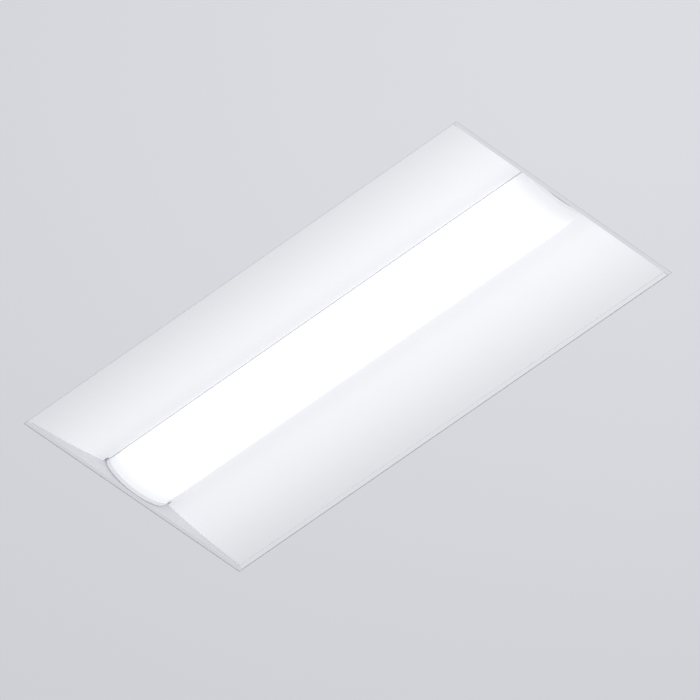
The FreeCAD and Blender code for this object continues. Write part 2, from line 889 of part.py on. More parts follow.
# ---------------------------------------------------------------- wiring
def output_lead(side):
    """A lead from the driver through the grommet to the far connector of one row."""
    y = side * lead_spread
    in_grommet = side * 2.2
    end_z = connector_z + connector_height / 2
    low_z = connector_z - 2.0
    end_y = side * (board_row_y - connector_size / 2 - lead_end_gap)
    start_x = driver_end_x + terminal_length + lead_end_gap
    points = [
        (start_x, y, lead_z - 1),
        (start_x * 0.78, y, lead_z - 1),
        (start_x * 0.47, y + side * 2.5, lead_z + 1.5),
        (start_x * 0.18, y - side * 0.8, lead_z - 0.5),
        (0, in_grommet, lead_z + 1),
        (0, in_grommet, low_z),
        (-connector_x, side * 18.0, end_z),
        (-connector_x, end_y, end_z),
    ]
    return lead(points, output_lead_radius)


def supply_lead(offset):
    """A supply lead from the driver's far terminal block to the disconnect plug."""
    start_x = driver_start_x - terminal_length - lead_end_gap
    y = offset * lead_spread
    end_x = plug_x + plug_length / 2 + lead_end_gap
    end_y = plug_y + offset * plug_lead_offset
    points = [
        (start_x, y, lead_z),
        (start_x - 14, y, lead_z),
        (start_x - 27 + offset * 4, y + 11, lead_z + 2.5),
        (start_x - 37 + offset * 5, y + 28, lead_z + 2.5),
        (start_x - 48 + offset * 4, end_y - 6, lead_z + 0.5),
        (end_x + 14, end_y, lead_z - 1.5),
        (end_x, end_y, lead_z - 1.5),
    ]
    return lead(points, supply_lead_radius)


def ground_lead():
    """The ground lead and its ring terminal under the ground screw."""
    start_x = driver_start_x - terminal_length - lead_end_gap
    y = 2.5 * lead_spread
    wire_z = tray_top + supply_lead_radius + lug_wire_rise
    barrel_y = ground_y - lug_ring_radius - lug_barrel_length
    points = [
        (start_x, y, lead_z - 2),
        (start_x - 9, y, lead_z - 2),
        (start_x - 18, y + 13, lead_z - 1),
        (ground_x - 1.5, ground_y - 26, wire_z + 2.0),
        (ground_x, barrel_y - 9, wire_z),
        (ground_x, barrel_y, wire_z),
    ]
    wire = lead(points, supply_lead_radius)
    ring = prism(lug_ring_radius, (ground_x, ground_y, tray_top), lug_sheet, UP, ring_sides)
    neck = block((ground_x - lug_neck_width / 2, barrel_y, tray_top),
                 (ground_x + lug_neck_width / 2, ground_y - lug_ring_radius / 2, tray_top + lug_sheet))
    barrel = prism(lug_barrel_radius, (ground_x, barrel_y, wire_z + 2 * lug_wire_rise), lug_barrel_length, ACROSS,
                   ring_sides)
    above_tray = block((ground_x - lug_ring_radius, barrel_y, tray_top),
                       (ground_x + lug_ring_radius, ground_y, tray_top + driver_height))
    lug = cut(join([ring, neck, barrel.common(above_tray)]),
              [screw_hole((ground_x, ground_y, tray_top), UP, screw_radius)])
    return group([wire, lug])


def ground_screw():
    """The screw that clamps the ground ring to the tray."""
    return screw((ground_x, ground_y, tray_top + lug_sheet), UP, lug_sheet + sheet + driver_screw_tail)


def lead_grommet():
    """The rubber grommet that guards the leads where they pass through the tray."""
    outer = grommet_bore + grommet_wall
    low = tray_z - grommet_flange_thickness
    height = sheet + 2 * grommet_flange_thickness
    parts = [prism(outer, (0, 0, low), height, UP, ring_sides)]
    for z in (low, tray_top):
        parts.append(prism(outer + grommet_flange, (0, 0, z), grommet_flange_thickness, UP, ring_sides))
    return cut(join(parts), [prism(grommet_bore, (0, 0, low - sheet), height + 2 * sheet, UP, ring_sides)])


def disconnect_plug():
    """The two-pole disconnect plug that lies on the tray under the access plate."""
    half = plug_width / 2
    left, right = plug_x - plug_length / 2, plug_x + plug_length / 2
    body = block((left, plug_y - half, tray_top), (right, plug_y + half, tray_top + plug_height))
    long_edges = [e for e in body.Edges if abs(e.BoundBox.XLength - plug_length) < 1e-6]
    body = body.makeFillet(plug_edge_radius, long_edges)
    waist = block((plug_x - plug_waist_width / 2, plug_y - plug_width, tray_top + plug_height - plug_waist_depth),
                  (plug_x + plug_waist_width / 2, plug_y + plug_width, tray_top + 2 * plug_height))
    sockets = []
    for offset in (-1, 1):
        start = (left - plug_socket_depth, plug_y + offset * plug_socket_offset, tray_top + plug_height / 2)
        sockets.append(prism(plug_socket_radius, start, 2 * plug_socket_depth, ALONG))
    return cut(body, [waist] + sockets)


# ---------------------------------------------------------------- lens door
def lower_half_ellipse(half, drop, top):
    """Edges of an open-topped outline: legs down from a height, then half an ellipse."""
    ellipse = Part.Ellipse(Vector(0, wing_top_z, 0), half, drop)
    arc = Part.ArcOfEllipse(ellipse, math.pi, 2 * math.pi).toShape()
    right = Part.LineSegment(Vector(half, wing_top_z, 0), Vector(half, top, 0)).toShape()
    left = Part.LineSegment(Vector(-half, top, 0), Vector(-half, wing_top_z, 0)).toShape()
    return [left, arc, right]


def half_ellipse_face(half, drop, top):
    """A face filled inside legs, half an ellipse and a straight top."""
    edges = lower_half_ellipse(half, drop, top)
    edges.append(Part.LineSegment(Vector(half, top, 0), Vector(-half, top, 0)).toShape())
    return Part.Face(Part.Wire(Part.__sortEdges__(edges)))


def diffuser_lens():
    """The extruded opal lens: half an ellipse with thinner, stepped-in legs."""
    leg_top = wing_top_z + lens_leg_rise
    outer = half_ellipse_face(lens_half, lens_drop, wing_top_z + lens_shoulder_rise)
    step = lens_leg_step
    legs = closed_face([(-lens_half + step, wing_top_z), (lens_half - step, wing_top_z),
                        (lens_half - step, leg_top), (-lens_half + step, leg_top)])
    inner = half_ellipse_face(lens_half - lens_wall, lens_drop - lens_wall, wing_top_z + 1)
    inner_legs_half = lens_half - step - lens_wall
    inner_legs = closed_face([(-inner_legs_half, wing_top_z), (inner_legs_half, wing_top_z),
                              (inner_legs_half, leg_top + 1), (-inner_legs_half, leg_top + 1)])
    face = outer.fuse([legs]).cut([inner.common(half_ellipse_face(inner_legs_half + step, lens_drop, leg_top)),
                                   inner_legs])
    reach = cap_in_x - lens_end_gap
    return along_x(face.removeSplitter().Faces[0], -reach, reach)


def ring_face(radius, y, z):
    """A flat many-sided disc."""
    turns = [2 * math.pi * i / ring_sides for i in range(ring_sides)]
    return closed_face([(y + radius * math.cos(turn), z + radius * math.sin(turn)) for turn in turns])


def lens_rail():
    """The right-hand stiffening rail over the lens's leg, with a port for the cap screws."""
    leg_out = lens_half - lens_leg_step
    leg_in = leg_out - lens_wall
    low = wing_top_z + rail_skirt_gap
    top = rail_top_z
    under = top - rail_wall
    outer_wall = (leg_out + rail_fit, leg_out + rail_fit + rail_wall)
    inner_wall = (leg_in - rail_fit - rail_wall, leg_in - rail_fit)
    parts = [
        closed_face([(outer_wall[0], low), (outer_wall[1], low), (outer_wall[1], top), (outer_wall[0], top)]),
        closed_face([(inner_wall[0], low), (inner_wall[1], low), (inner_wall[1], top), (inner_wall[0], top)]),
        closed_face([(outer_wall[1] - rail_web_width, under), (outer_wall[1], under),
                     (outer_wall[1], top), (outer_wall[1] - rail_web_width, top)]),
        ring_face(screw_port_radius, port_y, port_z),
    ]
    face = parts[0].fuse(parts[1:]).removeSplitter()
    face = face.cut([ring_face(small_screw_radius + hole_fit, port_y, port_z)]).Faces[0]
    reach = cap_in_x - lens_end_gap
    return along_x(face, -reach, reach)


def lens_end_cap():
    """The near moulded cap: D-shaped plate, skirt round the lens and a pivot ear."""
    plate = along_x(half_ellipse_face(cap_half, cap_drop, cap_top_z), cap_in_x, cap_out_x)
    corners = [e for e in plate.Edges
               if e.Length < cap_thickness + 0.1 and abs(e.CenterOfMass.z - cap_top_z) < 1e-6]
    plate = plate.makeFillet(cap_corner_radius, corners)
    skirt_outer = along_x(half_ellipse_face(cap_half, cap_drop, wing_top_z + lens_leg_rise),
                          cap_in_x - cap_skirt, cap_in_x)
    skirt_inner = along_x(half_ellipse_face(lens_half + cap_fit, lens_drop + cap_fit, cap_top_z + 5),
                          cap_in_x - cap_skirt - 1, cap_in_x)
    skirt = skirt_outer.cut([skirt_inner])
    ear = rod(ear_radius, (cap_in_x, hinge_y, hinge_z), cap_thickness, ALONG)
    body = join([plate, skirt, ear])
    tools = [round_about(pin_radius + cap_pin_fit, (cap_out_x - pin_grip, hinge_y, hinge_z), 2 * pin_grip, ALONG)]
    for side in (-1, 1):
        tools.append(screw_hole((cap_in_x, side * port_y, port_z), ALONG, small_screw_radius))
        seat = (cap_out_x - small_screw_head_height - cap_head_fit, side * port_y, port_z)
        tools.append(prism(small_screw_head_radius + cap_head_fit, seat, 2 * cap_thickness, ALONG))
    return cut(body, tools)


def lens_rail_left():
    """The left-hand rail, with rivet holes for the catch tongues."""
    reach = tongue_sheet + rail_wall + tongue_rivet_tail
    return cut(mirrored(lens_rail(), ACROSS),
               [screw_hole(tongue_rivet_point(x), UP, rivet_radius, reach) for x in catch_xs])


def lens_cap_screws():
    """Screws through both caps into the rails' screw ports."""
    shapes = []
    for end in (-1, 1):
        for side in (-1, 1):
            seat = (end * (cap_out_x - small_screw_head_height - cap_head_fit), side * port_y, port_z)
            shapes.append(headed_pin(seat, ALONG * end, small_screw_radius,
                                     small_screw_head_radius, small_screw_head_height, cap_screw_length))
    return group(shapes)


def pivot_pins():
    """Steel pins on the hinge axis, fixed in the caps and turning in the bushes."""
    start = cap_out_x - pin_grip
    length = pin_grip + door_end_gap + sheet + bush_flange_thickness + pin_end_play
    near = rod(pin_radius, (start, hinge_y, hinge_z), length, ALONG)
    return group([mirrored(near, ALONG), near])


def catch_tongues():
    """Two upright tongues on the left rail, each with a riveted foot."""
    shapes = []
    half = tongue_sheet / 2
    for x in catch_xs:
        path = [
            (x - half, rail_top_z + tongue_height),
            (x - half, rail_top_z),
            (x - half + tongue_foot, rail_top_z),
        ]
        face = strip_face(path, tongue_sheet, [0, 0.5, 0])
        body = along_y(face, tongue_y, tongue_y + tongue_width)
        shapes.append(cut(body, [screw_hole(tongue_rivet_point(x), UP, rivet_radius)]))
    return group(shapes)


def tongue_rivet_point(x):
    """Centre of the rivet in a tongue's foot."""
    return Vector(x + tongue_rivet_reach, tongue_y + tongue_rivet_inset, rail_top_z + tongue_sheet)


def tongue_rivets():
    """Rivets that hold the tongues' feet on the rail."""
    shapes = []
    for x in catch_xs:
        shapes.append(headed_pin(tongue_rivet_point(x), UP, rivet_radius, tongue_rivet_head_radius,
                                 tongue_rivet_head_height, tongue_sheet + rail_wall + tongue_rivet_tail - 0.1))
    return group(shapes)


def catch_springs():
    """Flask-shaped spring clips that grip the tongues from both sides."""
    back = -bay_half_width + sheet_gap + catch_sheet
    jaw = tongue_sheet / 2 + catch_fit
    half = catch_body_half
    shapes = []
    for x in catch_xs:
        path = [
            (x + jaw + catch_flare, back + catch_depth + catch_mouth),
            (x + jaw, back + catch_depth - catch_mouth),
            (x + jaw, back + catch_depth - catch_mouth - catch_jaw),
            (x + half, back + catch_shoulder),
            (x + half, back),
            (x - half, back),
            (x - half, back + catch_shoulder),
            (x - jaw, back + catch_depth - catch_mouth - catch_jaw),
            (x - jaw, back + catch_depth - catch_mouth),
            (x - jaw - catch_flare, back + catch_depth + catch_mouth),
        ]
        face = strip_face(path, catch_sheet, [0] * len(path))
        body = along_z(face, catch_z, catch_z + catch_height)
        point = (x, -bay_half_width, catch_z + catch_height / 2)
        shapes.append(cut(body, [screw_hole(point, ACROSS, rivet_radius, 2.0)]))
    return group(shapes)


def catch_spring_rivets():
    """Rivets through the springs, the reflector's leg and the channel's wall."""
    grip = 2 * sheet + sheet_gap + catch_sheet
    shapes = []
    for x, y, z in catch_rivet_points():
        seat = (x, y + sheet_gap + catch_sheet, z)
        shapes.append(rivet(seat, ACROSS, grip))
    return group(shapes)


# ---------------------------------------------------------------- access plate
def access_plate():
    """The swinging cover over the wiring opening, with conduit hole and open slot."""
    left, right = access_x - access_length / 2, access_x + access_length / 2
    front, back = -access_width / 2, access_width / 2
    outline = [(left, front), (right, front), (right, back), (left, back)]
    body = along_z(closed_face(outline, access_corner_radius), access_z, access_z + sheet)
    radius = (access_screw - access_rivet).Length
    width = access_screw_radius + access_slot_fit
    middle = access_rivet + UP * (access_z - 1)
    ring = Part.makeCylinder(radius + width, sheet + 2, middle).cut(
        Part.makeCylinder(radius - width, sheet + 2, middle))
    window = block((left - 5, access_screw.y - access_margin - 4, access_z - 2),
                   (left + access_margin + 8, access_screw.y, access_z + sheet + 2))
    conduit = (access_x + conduit_offset_x, conduit_offset_y, access_z)
    tools = [
        ring.common(window),
        hole(access_screw + UP * access_z, UP, width),
        hole(access_rivet + UP * access_z, UP, access_rivet_radius + pin_fit),
        hole(conduit, UP, conduit_hole_radius),
    ]
    return cut(body, tools)


def access_plate_rivet():
    """The shoulder rivet on which the access plate swings."""
    seat = access_rivet + UP * (access_z + sheet + plate_gap)
    grip = plate_gap * 2 + 2 * sheet
    return pivot_rivet(seat, grip, access_rivet_radius, access_rivet_head_radius, access_rivet_head_height)


def access_plate_screw():
    """The screw that the plate's open slot slips under."""
    seat = access_screw + UP * (access_z + sheet + plate_gap)
    return headed_pin(seat, UP, access_screw_radius, access_screw_head_radius,
                      screw_head_height, access_screw_length)


# ---------------------------------------------------------------- grid clips
def grid_clip():
    """The near right clip, stowed along its shelf, with a turned-up finger tab."""
    x = wall_out_x + clip_pivot_inset
    low = shoulder_z + plate_gap
    half = clip_width / 2
    end_y = clip_pivot_y - clip_length
    path = [(-end_y, low + clip_tab_height), (-end_y, low), (-clip_pivot_y, low)]
    side = strip_face([(p[0], p[1]) for p in reversed(path)], clip_sheet, [0, 0.8, 0])
    strip = side.extrude(Vector(0, 0, clip_width))
    strip.Placement = SECTION
    strip.translate(Vector(x - half, 0, 0))
    strip = mirrored(strip, ACROSS)
    pad = prism(half, (x, clip_pivot_y, low), clip_sheet, UP, ring_sides)
    body = join([strip, pad])
    return cut(body, [hole((x, clip_pivot_y, low), UP, clip_rivet_radius + pin_fit)])


def clip_rivets():
    """The rivets on which the four grid clips swing."""
    shapes = []
    for end in (-1, 1):
        for side in (-1, 1):
            x = end * (wall_out_x + clip_pivot_inset)
            top = shoulder_z + 2 * plate_gap + clip_sheet
            seat = Vector(x, side * clip_pivot_y, top)
            grip = 2 * plate_gap + clip_sheet + sheet
            shapes.append(pivot_rivet(seat, grip, clip_rivet_radius, screw_head_radius, rivet_head_height))
    return group(shapes)


# ---------------------------------------------------------------- assembly
def build_nodes():
    """Every node's name with its shape."""
    plate = end_plate()
    cap = lens_end_cap()
    clip = grid_clip()
    bush = pivot_bush()
    nodes = {
        "side_reflector_left": side_reflector_left(),
        "side_reflector_right": side_reflector(),
        "end_plate_far": mirrored(plate, ALONG),
        "end_plate_near": plate,
        "center_channel": center_channel(),
        "led_tray": led_tray(),
        "led_chips": led_chips(),
        "board_connectors": board_connectors(),
        "board_jumper_wires": board_jumper_wires(),
        "board_screws": board_screws(),
        "led_driver": led_driver(),
        "driver_terminal_blocks": driver_terminal_blocks(),
        "driver_screws": driver_screws(),
        "output_lead_red": output_lead(1),
        "output_lead_black": output_lead(-1),
        "supply_lead_black": supply_lead(-1),
        "supply_lead_white": supply_lead(1),
        "ground_lead_green": ground_lead(),
        "ground_screw": ground_screw(),
        "lead_grommet": lead_grommet(),
        "disconnect_plug": disconnect_plug(),
        "tray_screws": tray_screws(),
        "end_plate_screws": end_plate_screws(),
        "channel_rivets": channel_rivets(),
        "pivot_bushes": group([mirrored(bush, ALONG), bush]),
        "catch_springs": catch_springs(),
        "catch_spring_rivets": catch_spring_rivets(),
        "access_plate": access_plate(),
        "access_plate_rivet": access_plate_rivet(),
        "access_plate_screw": access_plate_screw(),
        "clip_rivets": clip_rivets(),
        "diffuser_lens": diffuser_lens(),
        "lens_end_cap_far": mirrored(cap, ALONG),
        "lens_end_cap_near": cap,
        "lens_rail_left": lens_rail_left(),
        "lens_rail_right": lens_rail(),
        "lens_cap_screws": lens_cap_screws(),
        "pivot_pins": pivot_pins(),
        "catch_tongues": catch_tongues(),
        "tongue_rivets": tongue_rivets(),
        "grid_clip_near_right": clip,
        "grid_clip_near_left": mirrored(clip, ACROSS),
        "grid_clip_far_right": mirrored(clip, ALONG),
        "grid_clip_far_left": mirrored(mirrored(clip, ALONG), ACROSS),
    }
    for number, centre in enumerate(board_centres(), start=1):
        nodes["led_board_%d" % number] = led_board(centre)
    return nodes


os.makedirs("parts", exist_ok=True)
for name, shape in build_nodes().items():
    shape.exportStep("parts/%s.step" % name)
    print(name, len(shape.Solids), "solids", "valid" if shape.isValid() else "NOT VALID")
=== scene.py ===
"""Looks of the recessed troffer light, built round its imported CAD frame."""

import json
import logging
import math
from collections.abc import Iterable, Sequence
from dataclasses import dataclass, field
from enum import Enum

import bmesh
import bpy
from mathutils import Matrix, Vector


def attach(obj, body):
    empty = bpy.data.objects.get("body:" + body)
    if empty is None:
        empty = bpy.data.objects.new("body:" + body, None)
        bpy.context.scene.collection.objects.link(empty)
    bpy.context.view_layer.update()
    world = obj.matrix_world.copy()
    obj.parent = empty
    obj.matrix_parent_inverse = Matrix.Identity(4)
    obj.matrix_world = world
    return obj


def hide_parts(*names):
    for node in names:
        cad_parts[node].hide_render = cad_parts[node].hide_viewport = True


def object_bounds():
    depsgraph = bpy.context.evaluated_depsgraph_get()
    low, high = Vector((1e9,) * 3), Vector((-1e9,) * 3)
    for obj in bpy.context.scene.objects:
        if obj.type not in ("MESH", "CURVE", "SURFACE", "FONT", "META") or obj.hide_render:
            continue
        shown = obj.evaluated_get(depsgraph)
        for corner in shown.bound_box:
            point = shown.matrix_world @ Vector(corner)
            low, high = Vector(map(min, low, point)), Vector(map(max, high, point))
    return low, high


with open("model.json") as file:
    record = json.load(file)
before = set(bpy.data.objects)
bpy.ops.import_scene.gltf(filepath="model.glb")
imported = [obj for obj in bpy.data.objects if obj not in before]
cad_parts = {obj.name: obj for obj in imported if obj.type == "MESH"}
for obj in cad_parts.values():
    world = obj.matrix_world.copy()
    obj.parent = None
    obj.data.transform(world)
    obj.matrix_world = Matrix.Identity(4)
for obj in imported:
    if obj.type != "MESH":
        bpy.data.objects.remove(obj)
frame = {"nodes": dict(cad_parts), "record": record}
LOG = logging.getLogger("troffer")
CAD_BOUNDS = [list(corner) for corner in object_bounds()]
MM = 0.001


# ------------------------------------------------------------------ shader graph
class Value:
    """A number socket whose arithmetic adds Math nodes to its graph."""

    def __init__(self, graph: "Graph", socket: bpy.types.NodeSocket) -> None:
        """Wrap one output socket of a graph."""
        self.graph = graph
        self.socket = socket

    def _math(self, operation: str, *values: "Value | float") -> "Value":
        """Add a Math node over the given values."""
        inputs = dict(enumerate(values))
        return self.graph.node("ShaderNodeMath", {"operation": operation}, inputs).value()

    def __add__(self, other: "Value | float") -> "Value":
        """Sum."""
        return self._math("ADD", self, other)

    def __sub__(self, other: "Value | float") -> "Value":
        """Difference."""
        return self._math("SUBTRACT", self, other)

    def __rsub__(self, other: "Value | float") -> "Value":
        """Difference from a number."""
        return self._math("SUBTRACT", other, self)

    def __mul__(self, other: "Value | float") -> "Value":
        """Product."""
        return self._math("MULTIPLY", self, other)

    def __truediv__(self, other: "Value | float") -> "Value":
        """Quotient."""
        return self._math("DIVIDE", self, other)

    __radd__ = __add__
    __rmul__ = __mul__

    def at_most(self, other: "Value | float") -> "Value":
        """The lower of two values."""
        return self._math("MINIMUM", self, other)

    def smooth(self, low: float, high: float) -> "Value":
        """Step smoothly from 0 to 1.

        Args:
            low: The value up to which the step is 0.
            high: The value from which the step is 1.

        Returns:
            The step.
        """
        settings = {"interpolation_type": "SMOOTHSTEP"}
        inputs = {"Value": self, "From Min": low, "From Max": high}
        return self.graph.node("ShaderNodeMapRange", settings, inputs).value()


class Node:
    """A shader node and its outputs."""

    def __init__(self, graph: "Graph", node: bpy.types.Node) -> None:
        """Wrap one node of a graph."""
        self.graph = graph
        self.node = node

    def value(self, name: "str | int" = 0) -> Value:
        """One output as a number.

        Args:
            name: The output's name or place.

        Returns:
            The wrapped socket.
        """
        return Value(self.graph, self.node.outputs[name])

    def out(self, name: "str | int" = 0) -> bpy.types.NodeSocket:
        """One output as it is."""
        return self.node.outputs[name]


class Graph:
    """The node tree of one material."""

    def __init__(self, name: str) -> None:
        """Start a material with a Principled shader.

        Args:
            name: The material's name.
        """
        self.material = bpy.data.materials.new(name)
        self.material.use_nodes = True
        self.tree = self.material.node_tree
        self.shader = self.tree.nodes["Principled BSDF"]

    def node(self, kind: str, settings: "dict | None" = None, inputs: "dict | None" = None) -> Node:
        """Add a node.

        Args:
            kind: The node's type.
            settings: Its settings, which are set first.
            inputs: A value or link for each named or numbered socket.

        Returns:
            The wrapped node.
        """
        made = self.tree.nodes.new(kind)
        for key, setting in (settings or {}).items():
            setattr(made, key, setting)
        for key, given in (inputs or {}).items():
            self.feed(made.inputs[key], given)
        return Node(self, made)

    def feed(self, socket: bpy.types.NodeSocket, given: object) -> None:
        """Set a socket to a value or link it to an output.

        Args:
            socket: The input.
            given: A number, a colour, or the value, node or output that it is linked to.
        """
        if isinstance(given, Value):
            given = given.socket
        elif isinstance(given, Node):
            given = given.out()
        if isinstance(given, bpy.types.NodeSocket):
            self.tree.links.new(given, socket)
        elif isinstance(given, tuple) and socket.type == "RGBA":
            socket.default_value = (*given[:3], 1.0)
        else:
            socket.default_value = given

    def place(self, scale: "tuple[float, float, float]" = (1, 1, 1)) -> bpy.types.NodeSocket:
        """Read the object coordinates in metres.

        Args:
            scale: A factor for each axis.

        Returns:
            The output with the coordinates.
        """
        coordinates = self.node("ShaderNodeTexCoord").out("Object")
        if scale == (1, 1, 1):
            return coordinates
        settings = {"vector_type": "POINT"}
        return self.node("ShaderNodeMapping", settings, {"Vector": coordinates, "Scale": scale}).out()

    def axis(self, letter: str) -> Value:
        """One object coordinate in metres."""
        return self.node("ShaderNodeSeparateXYZ", None, {0: self.place()}).value(letter)

    def noise(self, scale: float, detail: float = 2.0, stretch: tuple = (1, 1, 1)) -> Value:
        """Smooth noise from 0 to 1.

        Args:
            scale: Waves per metre.
            detail: Octaves.
            stretch: A further scale for each axis.

        Returns:
            The noise value.
        """
        inputs = {"Vector": self.place(stretch), "Scale": scale, "Detail": detail}
        return self.node("ShaderNodeTexNoise", None, inputs).value()

    def blend(self, factor: "Value | float", first: object, second: object) -> bpy.types.NodeSocket:
        """A colour between two colours."""
        inputs = {0: factor, 6: first, 7: second}
        return self.node("ShaderNodeMix", {"data_type": "RGBA"}, inputs).out(2)

    def bump(self, height: Value, depth: float, strength: float = 1.0) -> None:
        """Feed a bump of a real depth in metres into the shader's normal."""
        inputs = {"Height": height, "Distance": depth, "Strength": strength}
        self.feed(self.shader.inputs["Normal"], self.node("ShaderNodeBump", None, inputs).out())

    def set(self, **sockets: object) -> None:
        """Feed the shader's sockets; an underscore stands for a space."""
        for name, given in sockets.items():
            self.feed(self.shader.inputs[name.replace("_", " ")], given)


# ------------------------------------------------------------------ finishes
@dataclass(frozen=True)
class Finish:
    """What every finish has: a name, a colour and a roughness."""

    name: str
    colour: tuple
    roughness: float = 0.5

    def paint(self, graph: Graph) -> None:
        """Add the finish's own nodes."""
        raise NotImplementedError

    def make(self) -> bpy.types.Material:
        """Build the material.

        Returns:
            The finished material.
        """
        graph = Graph(self.name)
        graph.set(Roughness=self.roughness)
        self.paint(graph)
        return graph.material

    def shade(self, amount: float) -> tuple:
        """The finish's colour, made darker or lighter by a factor."""
        return tuple(channel * amount for channel in self.colour)


@dataclass(frozen=True)
class PowderCoat(Finish):
    """Baked powder paint with fine orange peel and faint cloudiness."""

    peel_per_metre: float = 520.0
    peel_depth: float = 0.000012
    cloud: float = 0.985

    def paint(self, graph: Graph) -> None:
        """Cloudy colour, uneven gloss and orange peel.

        Args:
            graph: The material's graph.
        """
        cloud = graph.noise(7.0, 3.0)
        graph.set(Base_Color=graph.blend(cloud, self.shade(self.cloud), self.colour))
        graph.set(Roughness=self.roughness + (graph.noise(60.0) - 0.5) * 0.12)
        graph.bump(graph.noise(self.peel_per_metre, 1.0), self.peel_depth, 0.5)


@dataclass(frozen=True)
class PaintedLightPowderCoat(PowderCoat):
    """Powder paint with painted light: a glow that stands in for the lens's light on it, which a piece's own
    attribute spreads over it.
    """

    painted_lamplight: float = 0.18
    attribute: str = "painted_lamplight"

    def paint(self, graph: Graph) -> None:
        """Powder paint with a painted glow, standing in for the lens's light, where its piece says so.

        Args:
            graph: The material's graph.
        """
        super().paint(graph)
        # Painted light: an emission, spread by the piece's own attribute, stands in for the lens's light
        # falling on the paint.
        share = graph.node("ShaderNodeAttribute", {"attribute_name": self.attribute}).value("Fac")
        lit = tuple(channel * self.painted_lamplight for channel in (0.985, 0.99, 1.0))
        graph.set(Emission_Color=graph.blend(share, (0.0, 0.0, 0.0), lit), Emission_Strength=1.0)


@dataclass(frozen=True)
class Galvanised(Finish):
    """Zinc coated sheet with its crystal spangle."""

    spangle_per_metre: float = 70.0

    def paint(self, graph: Graph) -> None:
        """Crystals of slightly different tone and gloss.

        Args:
            graph: The material's graph.
        """
        inputs = {"Vector": graph.place(), "Scale": self.spangle_per_metre}
        cells = graph.node("ShaderNodeTexVoronoi", {"feature": "F1"}, inputs).out("Color")
        tone = graph.node("ShaderNodeSeparateColor", None, {0: cells}).value(0)
        grain = graph.noise(260.0, 3.0)
        mixed = (tone * 0.7 + grain * 0.3).at_most(1.0)
        graph.set(Metallic=0.85, Base_Color=graph.blend(mixed, self.shade(0.86), self.shade(1.06)))
        graph.set(Roughness=self.roughness + (tone - 0.5) * 0.16)
        graph.bump(grain, 0.00004, 0.4)


@dataclass(frozen=True)
class DrawnMetal(Finish):
    """Metal with fine lines along one direction."""

    stretch: tuple = (0.04, 1.0, 1.0)
    metallic: float = 1.0

    def paint(self, graph: Graph) -> None:
        """Long streaks in colour, gloss and relief.

        Args:
            graph: The material's graph.
        """
        streaks = graph.noise(1500.0, 2.0, self.stretch)
        graph.set(Metallic=self.metallic, Base_Color=graph.blend(streaks, self.shade(0.9), self.shade(1.04)))
        graph.set(Roughness=self.roughness + (streaks - 0.5) * 0.18)
        graph.bump(streaks, 0.00002, 0.4)


@dataclass(frozen=True)
class ZincPlate(Finish):
    """Bright zinc with a faint blue and yellow bloom."""

    bloom: tuple = (0.80, 0.76, 0.62)

    def paint(self, graph: Graph) -> None:
        """Bloom patches and light handling marks.

        Args:
            graph: The material's graph.
        """
        patches = graph.noise(160.0, 3.0).smooth(0.42, 0.72)
        graph.set(Metallic=0.95, Base_Color=graph.blend(patches * 0.35, self.colour, self.bloom))
        graph.set(Roughness=self.roughness + graph.noise(700.0) * 0.15)
        graph.bump(graph.noise(1800.0), 0.00002, 0.3)


@dataclass(frozen=True)
class Moulded(Finish):
    """Moulded plastic with a fine spark-eroded grain and, where its glow is set, a painted glow though it is
    no lamp.
    """

    grain_per_metre: float = 2600.0
    grain_depth: float = 0.00001
    coat: float = 0.0
    glow: float = 0.0

    def paint(self, graph: Graph) -> None:
        """Grain, slight flow marks, uneven gloss and any painted glow.

        Args:
            graph: The material's graph.
        """
        flow = graph.noise(35.0, 2.0)
        graph.set(Base_Color=graph.blend(flow, self.shade(0.95), self.colour), Coat_Weight=self.coat)
        graph.set(Roughness=self.roughness + (graph.noise(400.0) - 0.5) * 0.15)
        # Painted light: the glow brightens the part as if lit, though it is no lamp.
        graph.set(Emission_Color=self.colour, Emission_Strength=self.glow)
        graph.bump(graph.noise(self.grain_per_metre, 1.0), self.grain_depth, 0.4)


@dataclass(frozen=True)
class LitOpal(Finish):
    """Opal acrylic that glows evenly, fades just before its ends and is dull on its hidden legs."""

    half_length: float = 0.591
    far_fade: float = 0.070
    near_fade: float = 0.105
    far_end_glow: float = 0.20
    near_end_glow: float = 0.09
    middle_glow: float = 0.50
    leg_start: float = 0.0364
    leg_end: float = 0.0374
    leg_share: float = 0.7
    end_colour: tuple = (0.93, 0.95, 1.0)

    def paint(self, graph: Graph) -> None:
        """Glow by distance from the ends and from the legs, over a satin white body.

        Args:
            graph: The material's graph.
        """
        along = graph.axis("X")
        near = along.smooth(self.half_length - self.near_fade, self.half_length)
        far = (along * -1.0).smooth(self.half_length - self.far_fade, self.half_length)
        lost = near * (self.middle_glow - self.near_end_glow) + far * (self.middle_glow - self.far_end_glow)
        shown = 1.0 - graph.axis("Z").smooth(self.leg_start, self.leg_end) * (1.0 - self.leg_share)
        cloud = graph.noise(9.0, 2.0) * 0.03 + 0.97
        level = (self.middle_glow - lost) * shown * cloud
        tint = graph.blend(near + far, (1.0, 1.0, 1.0), self.end_colour)
        lit = graph.node("ShaderNodeVectorMath", {"operation": "SCALE"}, {0: tint, "Scale": level}).out()
        graph.set(Base_Color=graph.blend(graph.noise(30.0), self.shade(0.985), self.colour))
        graph.set(Emission_Color=lit, Emission_Strength=1.0, Specular_IOR_Level=0.35)
        graph.set(Roughness=self.roughness + (graph.noise(500.0) - 0.5) * 0.08)
        graph.bump(graph.noise(1400.0, 1.0), 0.000005, 0.3)


